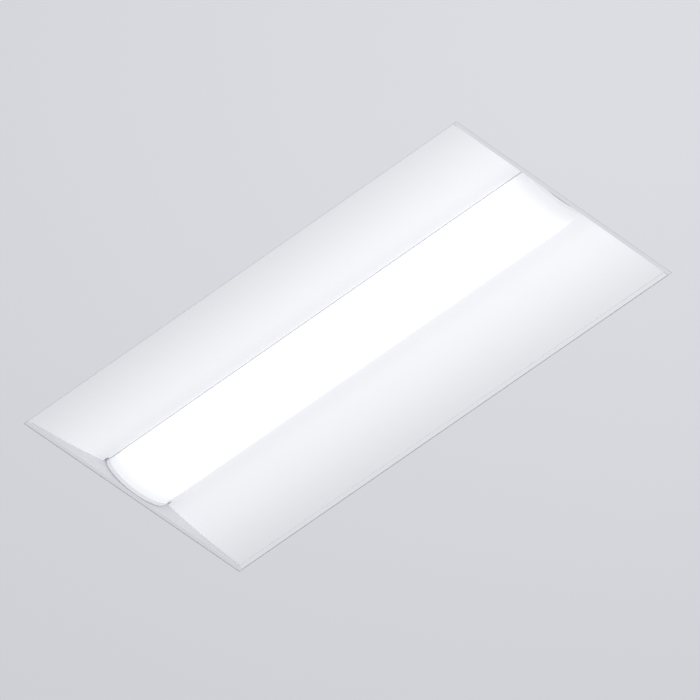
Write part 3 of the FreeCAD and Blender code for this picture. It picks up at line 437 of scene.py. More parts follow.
@dataclass(frozen=True)
class SolderMask(Finish):
    """White printed board with faint raised tracks along it."""

    track_pitch: float = 0.004

    def paint(self, graph: Graph) -> None:
        """Two tracks with gaps between the pads, and a fine resin weave.

        Args:
            graph: The material's graph.
        """
        across = graph.axis("Y") / self.track_pitch
        wave = graph.node("ShaderNodeMath", {"operation": "PINGPONG"}, {0: across, 1: 0.5}).value() * 2.0
        track = wave.smooth(0.35, 0.5)
        weave = graph.noise(1200.0, 2.0, (1.0, 0.3, 1.0))
        graph.set(Base_Color=graph.blend(track * 0.6 + weave * 0.2, self.shade(0.93), self.colour))
        graph.set(Roughness=self.roughness + weave * 0.1, Coat_Weight=0.2)
        graph.bump(track, 0.00005, 0.6)


@dataclass(frozen=True)
class Phosphor(Finish):
    """LED package: white rim with yellow phosphor in its round window, gently lit."""

    rim: tuple = (0.86, 0.86, 0.82)
    glow: float = 0.25

    def paint(self, graph: Graph) -> None:
        """Speckled phosphor with a soft glow.

        Args:
            graph: The material's graph.
        """
        speckle = graph.noise(6000.0, 2.0)
        yellow = graph.blend(speckle, self.shade(0.88), self.colour)
        graph.set(Base_Color=yellow, Emission_Color=yellow, Emission_Strength=self.glow, Coat_Weight=0.5)
        graph.bump(speckle, 0.00002, 0.4)


@dataclass(frozen=True)
class Insulation(Finish):
    """Extruded wire insulation or soft rubber."""

    streak_per_metre: float = 900.0

    def paint(self, graph: Graph) -> None:
        """Slight tone drift and a matt bloom.

        Args:
            graph: The material's graph.
        """
        drift = graph.noise(self.streak_per_metre * 0.2, 2.0)
        graph.set(Base_Color=graph.blend(drift, self.shade(0.82), self.shade(1.08)))
        graph.set(Roughness=self.roughness + (graph.noise(self.streak_per_metre) - 0.5) * 0.2)
        graph.bump(graph.noise(self.streak_per_metre * 2), 0.00003, 0.4)


@dataclass(frozen=True)
class Plaster(Finish):
    """The plain pale surface that the light is shown in."""

    def paint(self, graph: Graph) -> None:
        """Even tone with a barely visible drift.

        Args:
            graph: The material's graph.
        """
        graph.set(Base_Color=graph.blend(graph.noise(1.2, 2.0), self.shade(0.99), self.colour))
        graph.set(Specular_IOR_Level=0.2)
        graph.bump(graph.noise(400.0, 2.0), 0.0001, 0.2)


class Slot(Enum):
    """The record's material slots."""

    WHITE_PAINT = "white_paint"
    GALVANISED = "galvanised_steel"
    TRAY_PAINT = "tray_paint"
    OPAL = "opal_acrylic"
    WHITE_PLASTIC = "white_plastic"
    RAIL = "rail_aluminium"
    ZINC = "zinc_plate"
    SPRING = "spring_steel"
    NYLON = "white_nylon"
    BOARD = "circuit_board"
    PHOSPHOR = "led_phosphor"
    DRIVER = "driver_case"
    TERMINAL = "terminal_plastic"
    PLUG = "plug_plastic"
    RED_WIRE = "red_wire"
    BLACK_WIRE = "black_wire"
    WHITE_WIRE = "white_wire"
    GREEN_WIRE = "green_wire"
    GREEN_SCREW = "green_screw"
    RUBBER = "black_rubber"


FINISHES: "dict[Slot, Finish]" = {
    # The reflectors' paint carries painted light: a glow in place of the lens's light on the wings.
    Slot.WHITE_PAINT: PaintedLightPowderCoat("matt_white_powder_painted_light", (0.865, 0.868, 0.895), 0.75),
    Slot.GALVANISED: Galvanised("galvanised_sheet", (0.60, 0.62, 0.64), 0.42),
    Slot.TRAY_PAINT: PowderCoat("tray_white", (0.88, 0.89, 0.90), 0.5, 700.0),
    Slot.OPAL: LitOpal("lit_opal_acrylic", (0.90, 0.91, 0.93), 0.42),
    # The white moulded parts and the rail carry a small painted glow that brightens them beside the lit lens.
    Slot.WHITE_PLASTIC: Moulded("moulded_white_painted_glow", (0.84, 0.85, 0.88), 0.45, glow=0.12),
    Slot.RAIL: Moulded("rail_paint_painted_glow", (0.84, 0.85, 0.87), 0.5, glow=0.12),
    Slot.ZINC: ZincPlate("bright_zinc", (0.70, 0.72, 0.75), 0.28),
    Slot.SPRING: DrawnMetal("spring_strip", (0.50, 0.50, 0.52), 0.25, (1.0, 0.05, 1.0)),
    Slot.NYLON: Moulded("natural_nylon", (0.82, 0.81, 0.76), 0.4),
    Slot.BOARD: SolderMask("white_solder_mask", (0.88, 0.89, 0.88), 0.35),
    Slot.PHOSPHOR: Phosphor("yellow_phosphor", (0.90, 0.78, 0.30), 0.3),
    Slot.DRIVER: PowderCoat("driver_enamel", (0.74, 0.75, 0.76), 0.4, 1400.0),
    Slot.TERMINAL: Moulded("grey_terminal", (0.55, 0.56, 0.58), 0.42),
    Slot.PLUG: Moulded("orange_plug", (0.80, 0.26, 0.05), 0.38),
    Slot.RED_WIRE: Insulation("red_insulation", (0.55, 0.03, 0.02), 0.42),
    Slot.BLACK_WIRE: Insulation("black_insulation", (0.022, 0.022, 0.024), 0.42),
    Slot.WHITE_WIRE: Insulation("white_insulation", (0.78, 0.78, 0.77), 0.45),
    Slot.GREEN_WIRE: Insulation("green_insulation", (0.02, 0.24, 0.06), 0.42),
    Slot.GREEN_SCREW: ZincPlate("green_zinc", (0.06, 0.32, 0.12), 0.3, (0.10, 0.40, 0.16)),
    Slot.RUBBER: Insulation("black_rubber", (0.018, 0.018, 0.018), 0.62),
}
# The access plate is cut from another coil of sheet than the channel that it lies on.
PLATE_FINISH = Galvanised("galvanised_plate", (0.50, 0.52, 0.55), 0.38, 120.0)
# The end plates' paint is darker than the reflectors': painted shade for the shade they stand in past the
# lamp's ends.
END_PAINTED_SHADE_FINISH = PowderCoat("end_plate_powder_painted_shade", (0.79, 0.795, 0.825), 0.75)


class Finishes:
    """The built materials, one for each slot."""

    def __init__(self) -> None:
        """Build every finish once."""
        self.by_slot = {slot.value: finish.make() for slot, finish in FINISHES.items()}
        end_painted_shade = END_PAINTED_SHADE_FINISH.make()
        self.by_node = {"access_plate": PLATE_FINISH.make(), "end_plate_far": end_painted_shade,
                        "end_plate_near": end_painted_shade}

    def dress_nodes(self) -> int:
        """Give every CAD node the finish of its slot.

        Returns:
            How many nodes were dressed.
        """
        slots = {part["node"]: part["material_slot"] for part in frame["record"]["subparts"]}
        for name, node in frame["nodes"].items():
            node.data.materials.clear()
            node.data.materials.append(self.by_node.get(name, self.by_slot[slots[name]]))
        return len(slots)


# ------------------------------------------------------------------ mesh helpers
def as_mesh(name: str, mesh: bmesh.types.BMesh) -> bpy.types.Mesh:
    """Turn a bmesh into mesh data and free it.

    Args:
        name: The data's name.
        mesh: The shape.

    Returns:
        The mesh data.
    """
    data = bpy.data.meshes.new(name)
    mesh.to_mesh(data)
    mesh.free()
    return data


def add_object(name: str, data: bpy.types.ID) -> bpy.types.Object:
    """Add an object to the scene.

    Args:
        name: Its name.
        data: Its mesh, curve, camera or lamp.

    Returns:
        The object.
    """
    made = bpy.data.objects.new(name, data)
    bpy.context.scene.collection.objects.link(made)
    return made


def all_of(mesh: bmesh.types.BMesh) -> list:
    """Every vertex, edge and face of a bmesh."""
    return mesh.verts[:] + mesh.edges[:] + mesh.faces[:]


def only(kind: type, items: Iterable) -> list:
    """Those items that are of one kind."""
    return [item for item in items if isinstance(item, kind)]


def draw_on(mesh: bmesh.types.BMesh, tip: bmesh.types.BMVert, move: "Vector | tuple") -> bmesh.types.BMVert:
    """Draw a straight edge on from the end of a line.

    Args:
        mesh: The bmesh that holds the line.
        tip: The line's end.
        move: From this end to the next.

    Returns:
        The new end.
    """
    grown = bmesh.ops.extrude_vert_indiv(mesh, verts=[tip])["verts"]
    bmesh.ops.translate(mesh, verts=grown, vec=move)
    return grown[0]


def finish_piece(name: str, mesh: bmesh.types.BMesh, body: str, slot: Slot, finishes: Finishes,
                 replaced: Iterable[str] = (), sharp_degrees: float = 35.0) -> bpy.types.Object:
    """Turn a bmesh into a finished piece that rides on a body.

    Args:
        name: The piece's name.
        mesh: Its shape in metres, in the frame's place. It is freed here.
        body: The body that it rides on.
        slot: The material slot that it takes its finish from.
        finishes: The built finishes.
        replaced: The CAD nodes that it stands for.
        sharp_degrees: Edges that turn more than this stay sharp.

    Returns:
        The piece's object.
    """
    data = as_mesh(name, mesh)
    data.shade_smooth()
    data.set_sharp_from_angle(angle=math.radians(sharp_degrees))
    data.materials.append(finishes.by_slot[slot.value])
    piece = add_object(name, data)
    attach(piece, body)
    if replaced:
        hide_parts(*replaced)
    return piece


def node_islands(node: str) -> "list[tuple[Vector, Vector]]":
    """Lowest and highest corner of each separate solid in a CAD node.

    Args:
        node: The node's name.

    Returns:
        One pair of corners for each solid, in order of x, y and z.
    """
    mesh = bmesh.new()
    mesh.from_mesh(frame["nodes"][node].data)
    bmesh.ops.remove_doubles(mesh, verts=mesh.verts, dist=1e-6)
    left = set(mesh.verts)
    boxes = []
    while left:
        stack = [left.pop()]
        island = []
        while stack:
            vertex = stack.pop()
            island.append(vertex.co.copy())
            for edge in vertex.link_edges:
                other = edge.other_vert(vertex)
                if other in left:
                    left.remove(other)
                    stack.append(other)
        low = Vector(min(point[i] for point in island) for i in range(3))
        high = Vector(max(point[i] for point in island) for i in range(3))
        boxes.append((low, high))
    mesh.free()
    return sorted(boxes, key=lambda box: tuple(round(c, 4) for c in box[0]))


def turn_to(axis: Vector) -> Matrix:
    """The rotation that brings +Z onto an axis."""
    return Vector((0, 0, 1)).rotation_difference(axis).to_matrix().to_4x4()


def smooth_step(share: float) -> float:
    """0 below 0, 1 above 1 and a smooth step between."""
    held = min(max(share, 0.0), 1.0)
    return held * held * (3.0 - 2.0 * held)


def stamp(mesh: bmesh.types.BMesh, pattern: bpy.types.Mesh, place: Matrix) -> None:
    """Add a copy of a finished pattern to a mesh.

    Args:
        mesh: The bmesh that grows.
        pattern: What is copied, standing on the origin along +Z.
        place: Where the copy goes.
    """
    present = set(mesh.verts)
    mesh.from_mesh(pattern)
    bmesh.ops.transform(mesh, matrix=place, verts=[vertex for vertex in mesh.verts if vertex not in present])


def lathe(mesh: bmesh.types.BMesh, profile: Sequence["tuple[float, float]"], steps: int) -> None:
    """Spin a profile of (radius, height) points about Z into an empty mesh.

    Args:
        mesh: The empty bmesh that gets the solid.
        profile: Points from the axis, round, and back to the axis.
        steps: How many steps one turn has.
    """
    tip = mesh.verts.new((profile[0][0], 0, profile[0][1]))
    for (radius, height), (next_radius, next_height) in zip(profile, profile[1:]):
        tip = draw_on(mesh, tip, (next_radius - radius, 0, next_height - height))
    bmesh.ops.spin(mesh, geom=mesh.verts[:] + mesh.edges[:], cent=(0, 0, 0), axis=(0, 0, 1),
                   angle=2 * math.pi, steps=steps, use_merge=True)
    bmesh.ops.remove_doubles(mesh, verts=mesh.verts, dist=1e-7)
    bmesh.ops.recalc_face_normals(mesh, faces=mesh.faces)


class Fold:
    """A profile in (y, z) that is drawn as sheet is bent: straight runs and round bends.

    The metal lies to the left of the way that it is drawn.
    """

    def __init__(self, start: "tuple[float, float]", heading: "tuple[float, float]") -> None:
        """Start a profile.

        Args:
            start: Its first point in metres.
            heading: The direction of its first run.
        """
        self.mesh = bmesh.new()
        self.tip = self.mesh.verts.new((0, *start))
        self.heading = Vector((0, *heading)).normalized()

    def run(self, length: float) -> None:
        """Draw a straight run.

        Args:
            length: Of the run. One too short to see is left out.
        """
        if length < 1e-7:
            return
        self.tip = draw_on(self.mesh, self.tip, self.heading * length)

    def bend(self, radius: float, turn: float, steps: int) -> None:
        """Draw an arc.

        Args:
            radius: Of the drawn face.
            turn: In radians, to the left where positive.
            steps: Of the arc.
        """
        left = Vector((0, -self.heading.z, self.heading.y))
        centre = self.tip.co + left * math.copysign(radius, turn)
        spun = bmesh.ops.spin(self.mesh, geom=[self.tip], cent=centre, axis=(1, 0, 0),
                              angle=turn, steps=steps)
        self.tip = only(bmesh.types.BMVert, spun["geom_last"])[0]
        self.heading.rotate(Matrix.Rotation(turn, 3, "X"))

    @classmethod
    def along(cls, corners: "Sequence[tuple[float, float]]", radii: Sequence[float], sheet: float,
              steps: Sequence[int]) -> "Fold":
        """Draw a whole bent strip.

        Args:
            corners: The corners of its drawn face.
            radii: The inner radius at each corner.
            sheet: Its thickness, which right-hand bends don't add and left-hand ones do.
            steps: Arc steps at each corner.

        Returns:
            The drawn profile.
        """
        points = [Vector((0, *corner)) for corner in corners]
        legs = [after - before for before, after in zip(points, points[1:])]
        fold = cls(corners[0], (legs[0].y, legs[0].z))
        used = 0.0
        for index in range(1, len(points) - 1):
            before, after = legs[index - 1], legs[index]
            turn = math.atan2(before.y * after.z - before.z * after.y, before.dot(after))
            radius = radii[index] + (sheet if turn > 0 else 0.0)
            reach = radius * math.tan(abs(turn) / 2)
            fold.run(before.length - used - reach)
            fold.bend(radius, turn, steps[index])
            used = reach
        fold.run(legs[-1].length - used)
        return fold

    def sweep(self, stations: Sequence[float]) -> bmesh.types.BMesh:
        """Draw the profile out along X.

        Args:
            stations: The x of its start and of each further section.

        Returns:
            The open surface, whose faces point away from the metal.
        """
        mesh = self.mesh
        bmesh.ops.translate(mesh, verts=mesh.verts, vec=(stations[0], 0, 0))
        edges = mesh.edges[:]
        for low, high in zip(stations, stations[1:]):
            swept = bmesh.ops.extrude_edge_only(mesh, edges=edges)["geom"]
            edges = only(bmesh.types.BMEdge, swept)
            bmesh.ops.translate(mesh, verts=only(bmesh.types.BMVert, swept), vec=(high - low, 0, 0))
        return mesh


def give_thickness(mesh: bmesh.types.BMesh, thickness: float, outward: Vector, probe: Vector) -> None:
    """Turn an open surface into sheet that lies behind its faces.

    Args:
        mesh: The surface.
        thickness: Of the sheet.
        outward: The way that the drawn face nearest the probe has to point.
        probe: A point near one face.
    """
    bmesh.ops.recalc_face_normals(mesh, faces=mesh.faces)
    nearest = min(mesh.faces, key=lambda face: (face.calc_center_median() - probe).length)
    if nearest.normal.dot(outward) < 0:
        bmesh.ops.reverse_faces(mesh, faces=mesh.faces)
    bmesh.ops.solidify(mesh, geom=mesh.faces[:], thickness=thickness)


# ------------------------------------------------------------------ side reflectors
@dataclass
class SideReflectors:
    """The two folded reflectors: bay leg, long curved wing, riser, grid flange and return."""

    sheet: float = 1.0 * MM
    bend: float = 1.0 * MM
    half_length: float = 596.3 * MM
    bay_half: float = 84.0 * MM
    leg_top: float = 57.8 * MM
    crest: float = 37.0 * MM
    turn_y: float = 151.6 * MM
    turn_z: float = 20.8 * MM
    inner_flat: float = 3.7 * MM
    opening_half: float = 291.6 * MM
    riser: float = 4.0 * MM
    outer_half: float = 301.6 * MM
    return_height: float = 25.0 * MM
    hem: float = 12.0 * MM
    notch_length: float = 12.0 * MM
    notch_width: float = 7.0 * MM
    notch_height: float = 10.0 * MM
    flange_height: float = 12.0 * MM
    flange_margin: float = 8.0 * MM
    wing_steps: int = 36
    bend_steps: int = 5
    # The painted light that stands in for the lens's light on the wings rises from here, peaks and fades out.
    painted_light_start: float = 80.0 * MM
    painted_light_near: float = 135.0 * MM
    painted_light_far: float = 345.0 * MM
    painted_light_start_share: float = 0.55

    def wing_radius(self) -> float:
        """Work out the wing's radius from the flat left beside the bay.

        Returns:
            The inner radius.
        """
        flank = math.hypot(self.turn_y - self.bay_half, self.crest - self.turn_z)
        turn = (math.atan2(self.crest - self.turn_z, self.turn_y - self.bay_half)
                - math.atan2(self.turn_z - self.riser, self.opening_half - self.turn_y))
        return (flank - self.inner_flat) / math.tan(turn / 2) - self.sheet

    def surface(self) -> bmesh.types.BMesh:
        """Draw the seen surface of the right reflector, notched, with its end flanges.

        Returns:
            The open surface.
        """
        corners = [(self.bay_half, self.leg_top), (self.bay_half, self.crest), (self.turn_y, self.turn_z),
                   (self.opening_half, self.riser), (self.opening_half, 0), (self.outer_half, 0),
                   (self.outer_half, self.return_height), (self.outer_half - self.hem, self.return_height)]
        radii = [0, self.bend, self.wing_radius()] + [self.bend] * 4 + [0]
        steps = [0, self.bend_steps, self.wing_steps] + [self.bend_steps] * 4 + [0]
        inner = self.half_length - self.notch_length
        mesh = Fold.along(corners, radii, self.sheet, steps).sweep(
            [-self.half_length, -inner, inner, self.half_length])
        self.cut_notches(mesh, inner)
        self.raise_end_flanges(mesh)
        bmesh.ops.remove_doubles(mesh, verts=mesh.verts, dist=1e-7)
        return mesh

    def cut_notches(self, mesh: bmesh.types.BMesh, inner: float) -> None:
        """Take the corners beside the bay out of both ends, where the lens's caps pass.

        Args:
            mesh: The open surface.
            inner: How far from the middle the notches start.
        """
        side_y = self.bay_half + self.notch_width
        top_z = self.crest + self.notch_height
        for place, normal in (((0, 0, top_z), (0, 0, 1)), ((0, side_y, 0), (0, 1, 0))):
            bmesh.ops.bisect_plane(mesh, geom=all_of(mesh), plane_co=place, plane_no=normal)
        taken = []
        for face in mesh.faces:
            middle = face.calc_center_median()
            if abs(middle.x) > inner and middle.y < side_y and middle.z < top_z:
                taken.append(face)
        bmesh.ops.delete(mesh, geom=taken, context="FACES")

    def raise_end_flanges(self, mesh: bmesh.types.BMesh) -> None:
        """Turn a flange up along the wing's both ends, which the end plates are screwed to.

        Args:
            mesh: The open surface.
        """
        low_y = self.bay_half + self.notch_width + self.flange_margin
        high_y = self.opening_half - self.flange_margin
        for place_y in (low_y, high_y):
            bmesh.ops.bisect_plane(mesh, geom=all_of(mesh), plane_co=(0, place_y, 0), plane_no=(0, 1, 0))
        ends = []
        for edge in mesh.edges:
            middle = (edge.verts[0].co + edge.verts[1].co) / 2
            across = abs(edge.verts[0].co.x - edge.verts[1].co.x) < 1e-6
            at_end = abs(abs(middle.x) - self.half_length) < 1e-6
            if across and at_end and low_y < middle.y < high_y:
                ends.append(edge)
        tops = only(bmesh.types.BMVert, bmesh.ops.extrude_edge_only(mesh, edges=ends)["geom"])
        bmesh.ops.translate(mesh, verts=tops, vec=(0, 0, self.sheet + self.flange_height))

    def spread_painted_light(self, mesh: bmesh.types.BMesh) -> None:
        """Note how much painted light, in place of the lens's light, each corner of the seen face gets, by
        its distance.

        Args:
            mesh: The finished sheet.
        """
        layer = mesh.verts.layers.float.new("painted_lamplight")
        for face in mesh.faces:
            if face.normal.z > -0.5:
                continue
            for vertex in face.verts:
                away = abs(vertex.co.y)
                rise = smooth_step((away - self.painted_light_start) / (self.painted_light_near - self.painted_light_start))
                fall = smooth_step((away - self.painted_light_near) / (self.painted_light_far - self.painted_light_near))
                vertex[layer] = (self.painted_light_start_share + (1.0 - self.painted_light_start_share) * rise) * (1.0 - fall)

    def build(self, finishes: "Finishes") -> "list[bpy.types.Object]":
        """Build both reflectors.

        Args:
            finishes: The built finishes.

        Returns:
            The right and the left piece.
        """
        pieces = []
        for side, node in ((1, "side_reflector_right"), (-1, "side_reflector_left")):
            mesh = self.surface()
            probe = Vector((0, self.opening_half * 0.7, self.riser))
            give_thickness(mesh, self.sheet, Vector((0, 0, -1)), probe)
            if side < 0:
                bmesh.ops.scale(mesh, vec=(1, -1, 1), verts=mesh.verts)
                bmesh.ops.reverse_faces(mesh, faces=mesh.faces)
            mesh.normal_update()
            self.spread_painted_light(mesh)
            pieces.append(finish_piece(node + "_sheet", mesh, "housing", Slot.WHITE_PAINT, finishes,
                                       [node], 40.0))
        return pieces


# ------------------------------------------------------------------ fasteners
# Profiles as shares of the head's radius and of its height.
PAN_HEAD = ((1.0, 0.0), (1.0, 0.35), (0.93, 0.65), (0.75, 0.9), (0.5, 1.0), (0.36, 1.0), (0.24, 0.4),
            (0.0, 0.3))
RIVET_TAIL = ((0.0, 0.0), (0.5, 0.0), (0.72, 0.3), (0.78, 0.7), (0.7, 1.0))
RIVET_HEAD = ((1.0, 0.0), (1.0, 0.18), (0.9, 0.5), (0.68, 0.85), (0.4, 1.0), (0.28, 1.0), (0.24, 0.4),
              (0.0, 0.4))


class Head(Enum):
    """Head forms of the small fasteners."""

    HEX_WASHER = "hex_washer"
    PAN = "pan"
    RIVET = "rivet"


@dataclass
class FastenerSet:
    """All fasteners of one CAD node, remade with real heads."""

    node: str
    body: str
    axis: Vector
    head: Head
    slot: Slot = Slot.ZINC
    from_middle: bool = False
    steps: int = 20

    def outward(self, centre: Vector) -> Vector:
        """The way that a fastener's head points.

        Args:
            centre: The fastener's middle.

        Returns:
            The set's axis, turned about on the light's other half where heads point from the middle.
        """
        unsigned = Vector(abs(part) for part in self.axis)
        return -self.axis if self.from_middle and centre.dot(unsigned) <= 0 else self.axis.copy()

    def build(self, finishes: Finishes) -> bpy.types.Object:
        """Build one piece with every fastener of the node.

        Args:
            finishes: The built finishes.

        Returns:
            The piece, which stands for the node.
        """
        mesh = bmesh.new()
        patterns = {}
        for low, high in node_islands(self.node):
            centre = (low + high) / 2
            outward = self.outward(centre)
            size = high - low
            length = abs(size.dot(self.axis))
            radius = max(size[i] for i in range(3) if abs(self.axis[i]) < 0.5) / 2
            key = (round(radius, 5), round(length, 5))
            if key not in patterns:
                patterns[key] = self.pattern(radius, length)
            place = Matrix.Translation(centre - outward * (length / 2)) @ turn_to(outward)
            stamp(mesh, patterns[key], place)
        for pattern in patterns.values():
            bpy.data.meshes.remove(pattern)
        return finish_piece(self.node + "_heads", mesh, self.body, self.slot, finishes, [self.node], 30.0)

    def pattern(self, radius: float, length: float) -> bpy.types.Mesh:
        """One fastener that stands on its tip.

        Args:
            radius: Of its head.
            length: From its tip to the top of its head.

        Returns:
            The fastener's mesh.
        """
        mesh = bmesh.new()
        makers = {Head.HEX_WASHER: self.make_hex, Head.PAN: self.make_pan, Head.RIVET: self.make_rivet}
        makers[self.head](mesh, radius, length)
        return as_mesh(self.node + "_pattern", mesh)

    def thread(self, shank: float, tip: float, seat: float) -> "list[tuple[float, float]]":
        """Ridges of a coarse thread from a point to the head's seat.

        Args:
            shank: The thread's crest radius.
            tip: Length of the point.
            seat: Height of the head's seat.

        Returns:
            Profile points from the tip up.
        """
        points = [(0.0, 0.0), (shank * 0.35, tip * 0.3)]
        pitch = shank * 0.62
        height = tip
        while height + pitch < seat:
            points += [(shank * 0.78, height), (shank, height + pitch * 0.5)]
            height += pitch
        return points + [(shank * 0.8, seat)]

    def make_hex(self, mesh: bmesh.types.BMesh, radius: float, length: float) -> None:
        """Shape a self-tapping screw with a washer face and a six-sided, dished head.

        Args:
            mesh: The empty bmesh.
            radius: Of its washer face.
            length: From its tip to the top of its head.
        """
        rise = min(1.6 * MM, length * 0.4)
        seat = length - rise
        washer = seat + rise * 0.25
        hexagon = radius * 0.8
        profile = self.thread(radius * 0.5, min(seat, radius * 0.6), seat)
        profile += [(radius, seat), (radius, washer - rise * 0.08), (radius * 0.97, washer), (0, washer)]
        lathe(mesh, profile, self.steps)
        head = bmesh.ops.create_circle(mesh, cap_ends=True, segments=6, radius=hexagon)["verts"]
        bmesh.ops.translate(mesh, verts=head, vec=(0, 0, washer))
        base = [face for face in mesh.faces if all(vertex in head for vertex in face.verts)]
        raised = bmesh.ops.extrude_face_region(mesh, geom=base)["geom"]
        cap = only(bmesh.types.BMFace, raised)
        bmesh.ops.translate(mesh, verts=only(bmesh.types.BMVert, raised), vec=(0, 0, (length - washer) * 0.8))
        bmesh.ops.inset_region(mesh, faces=cap, thickness=hexagon * 0.16, depth=0)
        bmesh.ops.translate(mesh, verts=list(cap[0].verts), vec=(0, 0, (length - washer) * 0.2))
        bmesh.ops.inset_region(mesh, faces=cap, thickness=hexagon * 0.22, depth=0)
        bmesh.ops.translate(mesh, verts=list(cap[0].verts), vec=(0, 0, -(length - washer) * 0.45))

    def make_pan(self, mesh: bmesh.types.BMesh, radius: float, length: float) -> None:
        """Shape a small screw with a domed head and a recess.

        Args:
            mesh: The empty bmesh.
            radius: Of its head.
            length: From its tip to the top of its head.
        """
        rise = min(1.4 * MM, length * 0.35)
        seat = length - rise
        profile = self.thread(radius * 0.44, min(seat, radius * 0.6), seat)
        profile += [(radius * across, seat + rise * up) for across, up in PAN_HEAD]
        lathe(mesh, profile, self.steps)

    def make_rivet(self, mesh: bmesh.types.BMesh, radius: float, length: float) -> None:
        """Shape a blind rivet with its mandrel hole and a swollen tail.

        Args:
            mesh: The empty bmesh.
            radius: Of its head.
            length: From its tail to the top of its head.
        """
        rise = min(1.1 * MM, length * 0.3)
        seat = length - rise
        shank = radius * 0.53
        profile = [(radius * across, rise * up) for across, up in RIVET_TAIL]
        profile += [(shank, rise), (shank, seat)]
        profile += [(radius * across, seat + rise * up) for across, up in RIVET_HEAD]
        lathe(mesh, profile, self.steps)


def fastener_sets() -> "list[FastenerSet]":
    """List every node of small fasteners with its axis and head.

    Returns:
        The sets.
    """
    along, across, up = Vector((1, 0, 0)), Vector((0, 1, 0)), Vector((0, 0, 1))
    return [
        FastenerSet("end_plate_screws", "housing", along, Head.HEX_WASHER, from_middle=True),
        FastenerSet("tray_screws", "housing", across, Head.HEX_WASHER, from_middle=True),
        FastenerSet("driver_screws", "housing", up, Head.HEX_WASHER),
        FastenerSet("ground_screw", "housing", up, Head.HEX_WASHER, Slot.GREEN_SCREW),
        FastenerSet("board_screws", "housing", -up, Head.PAN),
        FastenerSet("channel_rivets", "housing", -across, Head.RIVET, from_middle=True),
        FastenerSet("catch_spring_rivets", "housing", across, Head.RIVET),
        FastenerSet("clip_rivets", "housing", up, Head.RIVET),
        FastenerSet("access_plate_rivet", "housing", up, Head.RIVET),
        FastenerSet("access_plate_screw", "housing", up, Head.HEX_WASHER),
        FastenerSet("lens_cap_screws", "lens_door", along, Head.PAN, from_middle=True),
        FastenerSet("tongue_rivets", "lens_door", up, Head.RIVET),
    ]


# ------------------------------------------------------------------ lens door
@dataclass
class Lens:
    """The extruded opal lens: half an ellipse below, stepped-in legs above."""

    wall: float = 2.0 * MM
    half: float = 82.5 * MM
    junction: float = 37.0 * MM
    drop: float = 35.0 * MM
    shoulder: float = 0.3 * MM
    step: float = 1.1 * MM
    leg_rise: float = 6.0 * MM
    reach: float = 591.2 * MM
    arc_steps: int = 72

    def build(self, finishes: Finishes) -> bpy.types.Object:
        """Build the lens as a smooth extrusion.

        Args:
            finishes: The built finishes.

        Returns:
            The lens's object.
        """
        fold = Fold((self.half, self.junction), (0, -1))
        fold.bend(self.half, -math.pi, self.arc_steps)
        mesh = fold.mesh
        bmesh.ops.scale(mesh, vec=(1, 1, self.drop / self.half), verts=mesh.verts,
                        space=Matrix.Translation((0, 0, -self.junction)))
        for side in (1, -1):
            tip = max(mesh.verts, key=lambda vertex: (round(vertex.co.z, 6), vertex.co.y * side))
            for move in ((0, 0, self.shoulder), (0, -side * self.step, 0),
                         (0, 0, self.leg_rise - self.shoulder)):
                tip = draw_on(mesh, tip, move)
        fold.sweep([-self.reach, self.reach])
        give_thickness(mesh, self.wall, Vector((0, 0, -1)), Vector((0, 0, self.junction - self.drop)))
        return finish_piece("lit_lens", mesh, "lens_door", Slot.OPAL, finishes, ["diffuser_lens"], 40.0)


# ------------------------------------------------------------------ LEDs and leads
@dataclass
class LedPackages:
    """The LEDs with a bevelled white body and a raised phosphor window."""

    window_share: float = 0.36
    window_rise: float = 0.08 * MM
    window_sides: int = 12
    edge: float = 0.15 * MM

    def build(self, finishes: Finishes) -> "list[bpy.types.Object]":
        """Build the packages and their windows.

        Args:
            finishes: The built finishes.

        Returns:
            The two pieces.
        """
        bodies, windows = bmesh.new(), bmesh.new()
        for low, high in node_islands("led_chips"):
            centre, size = (low + high) / 2, high - low
            made = bmesh.ops.create_cube(bodies, size=1.0)
            bmesh.ops.scale(bodies, vec=size, verts=made["verts"])
            bmesh.ops.translate(bodies, vec=centre, verts=made["verts"])
            radius = size.y * self.window_share
            round_window = bmesh.ops.create_cone(windows, cap_ends=True, segments=self.window_sides,
                                                 radius1=radius, radius2=radius,
                                                 depth=self.window_rise * 2)
            bmesh.ops.translate(windows, vec=(centre.x, centre.y, low.z + self.window_rise * 0.5),
                                verts=round_window["verts"])
        bmesh.ops.bevel(bodies, geom=bodies.edges[:], offset=self.edge, affect="EDGES", segments=1,
                        profile=0.5, material=-1)
        return [
            finish_piece("led_packages", bodies, "housing", Slot.NYLON, finishes, ["led_chips"]),
            finish_piece("led_windows", windows, "housing", Slot.PHOSPHOR, finishes),
        ]


@dataclass
class Lead:
    """One wire that follows a route of points in millimetres between two pieces of the light."""

    name: str
    slot: Slot
    radius: float
    length: float
    route: "list[tuple[float, float, float]]"
    node: str

    def build(self, finishes: Finishes, fittings: "Sequence[bpy.types.Object]" = ()) -> bpy.types.Object:
        """Build the wire as a smooth tube.

        Args:
            finishes: The built finishes.
            fittings: Pieces at its far end; not used.

        Returns:
            The wire's object.
        """
        curve = bpy.data.curves.new(self.name, "CURVE")
        curve.dimensions = "3D"
        curve.bevel_depth = self.radius * MM
        curve.bevel_resolution = 3
        curve.use_fill_caps = True
        spline = curve.splines.new("NURBS")
        spline.points.add(len(self.route) - 1)
        for point, place in zip(spline.points, self.route):
            point.co = (*(c * MM for c in place), 1.0)
        spline.order_u = 3
        spline.use_endpoint_u = True
        spline.resolution_u = 10
        curve.materials.append(finishes.by_slot[self.slot.value])
        piece = add_object(self.name, curve)
        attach(piece, "housing")
        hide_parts(self.node)
        tuple(c * MM for c in self.route[0])
        2 * self.radius * MM
        return piece


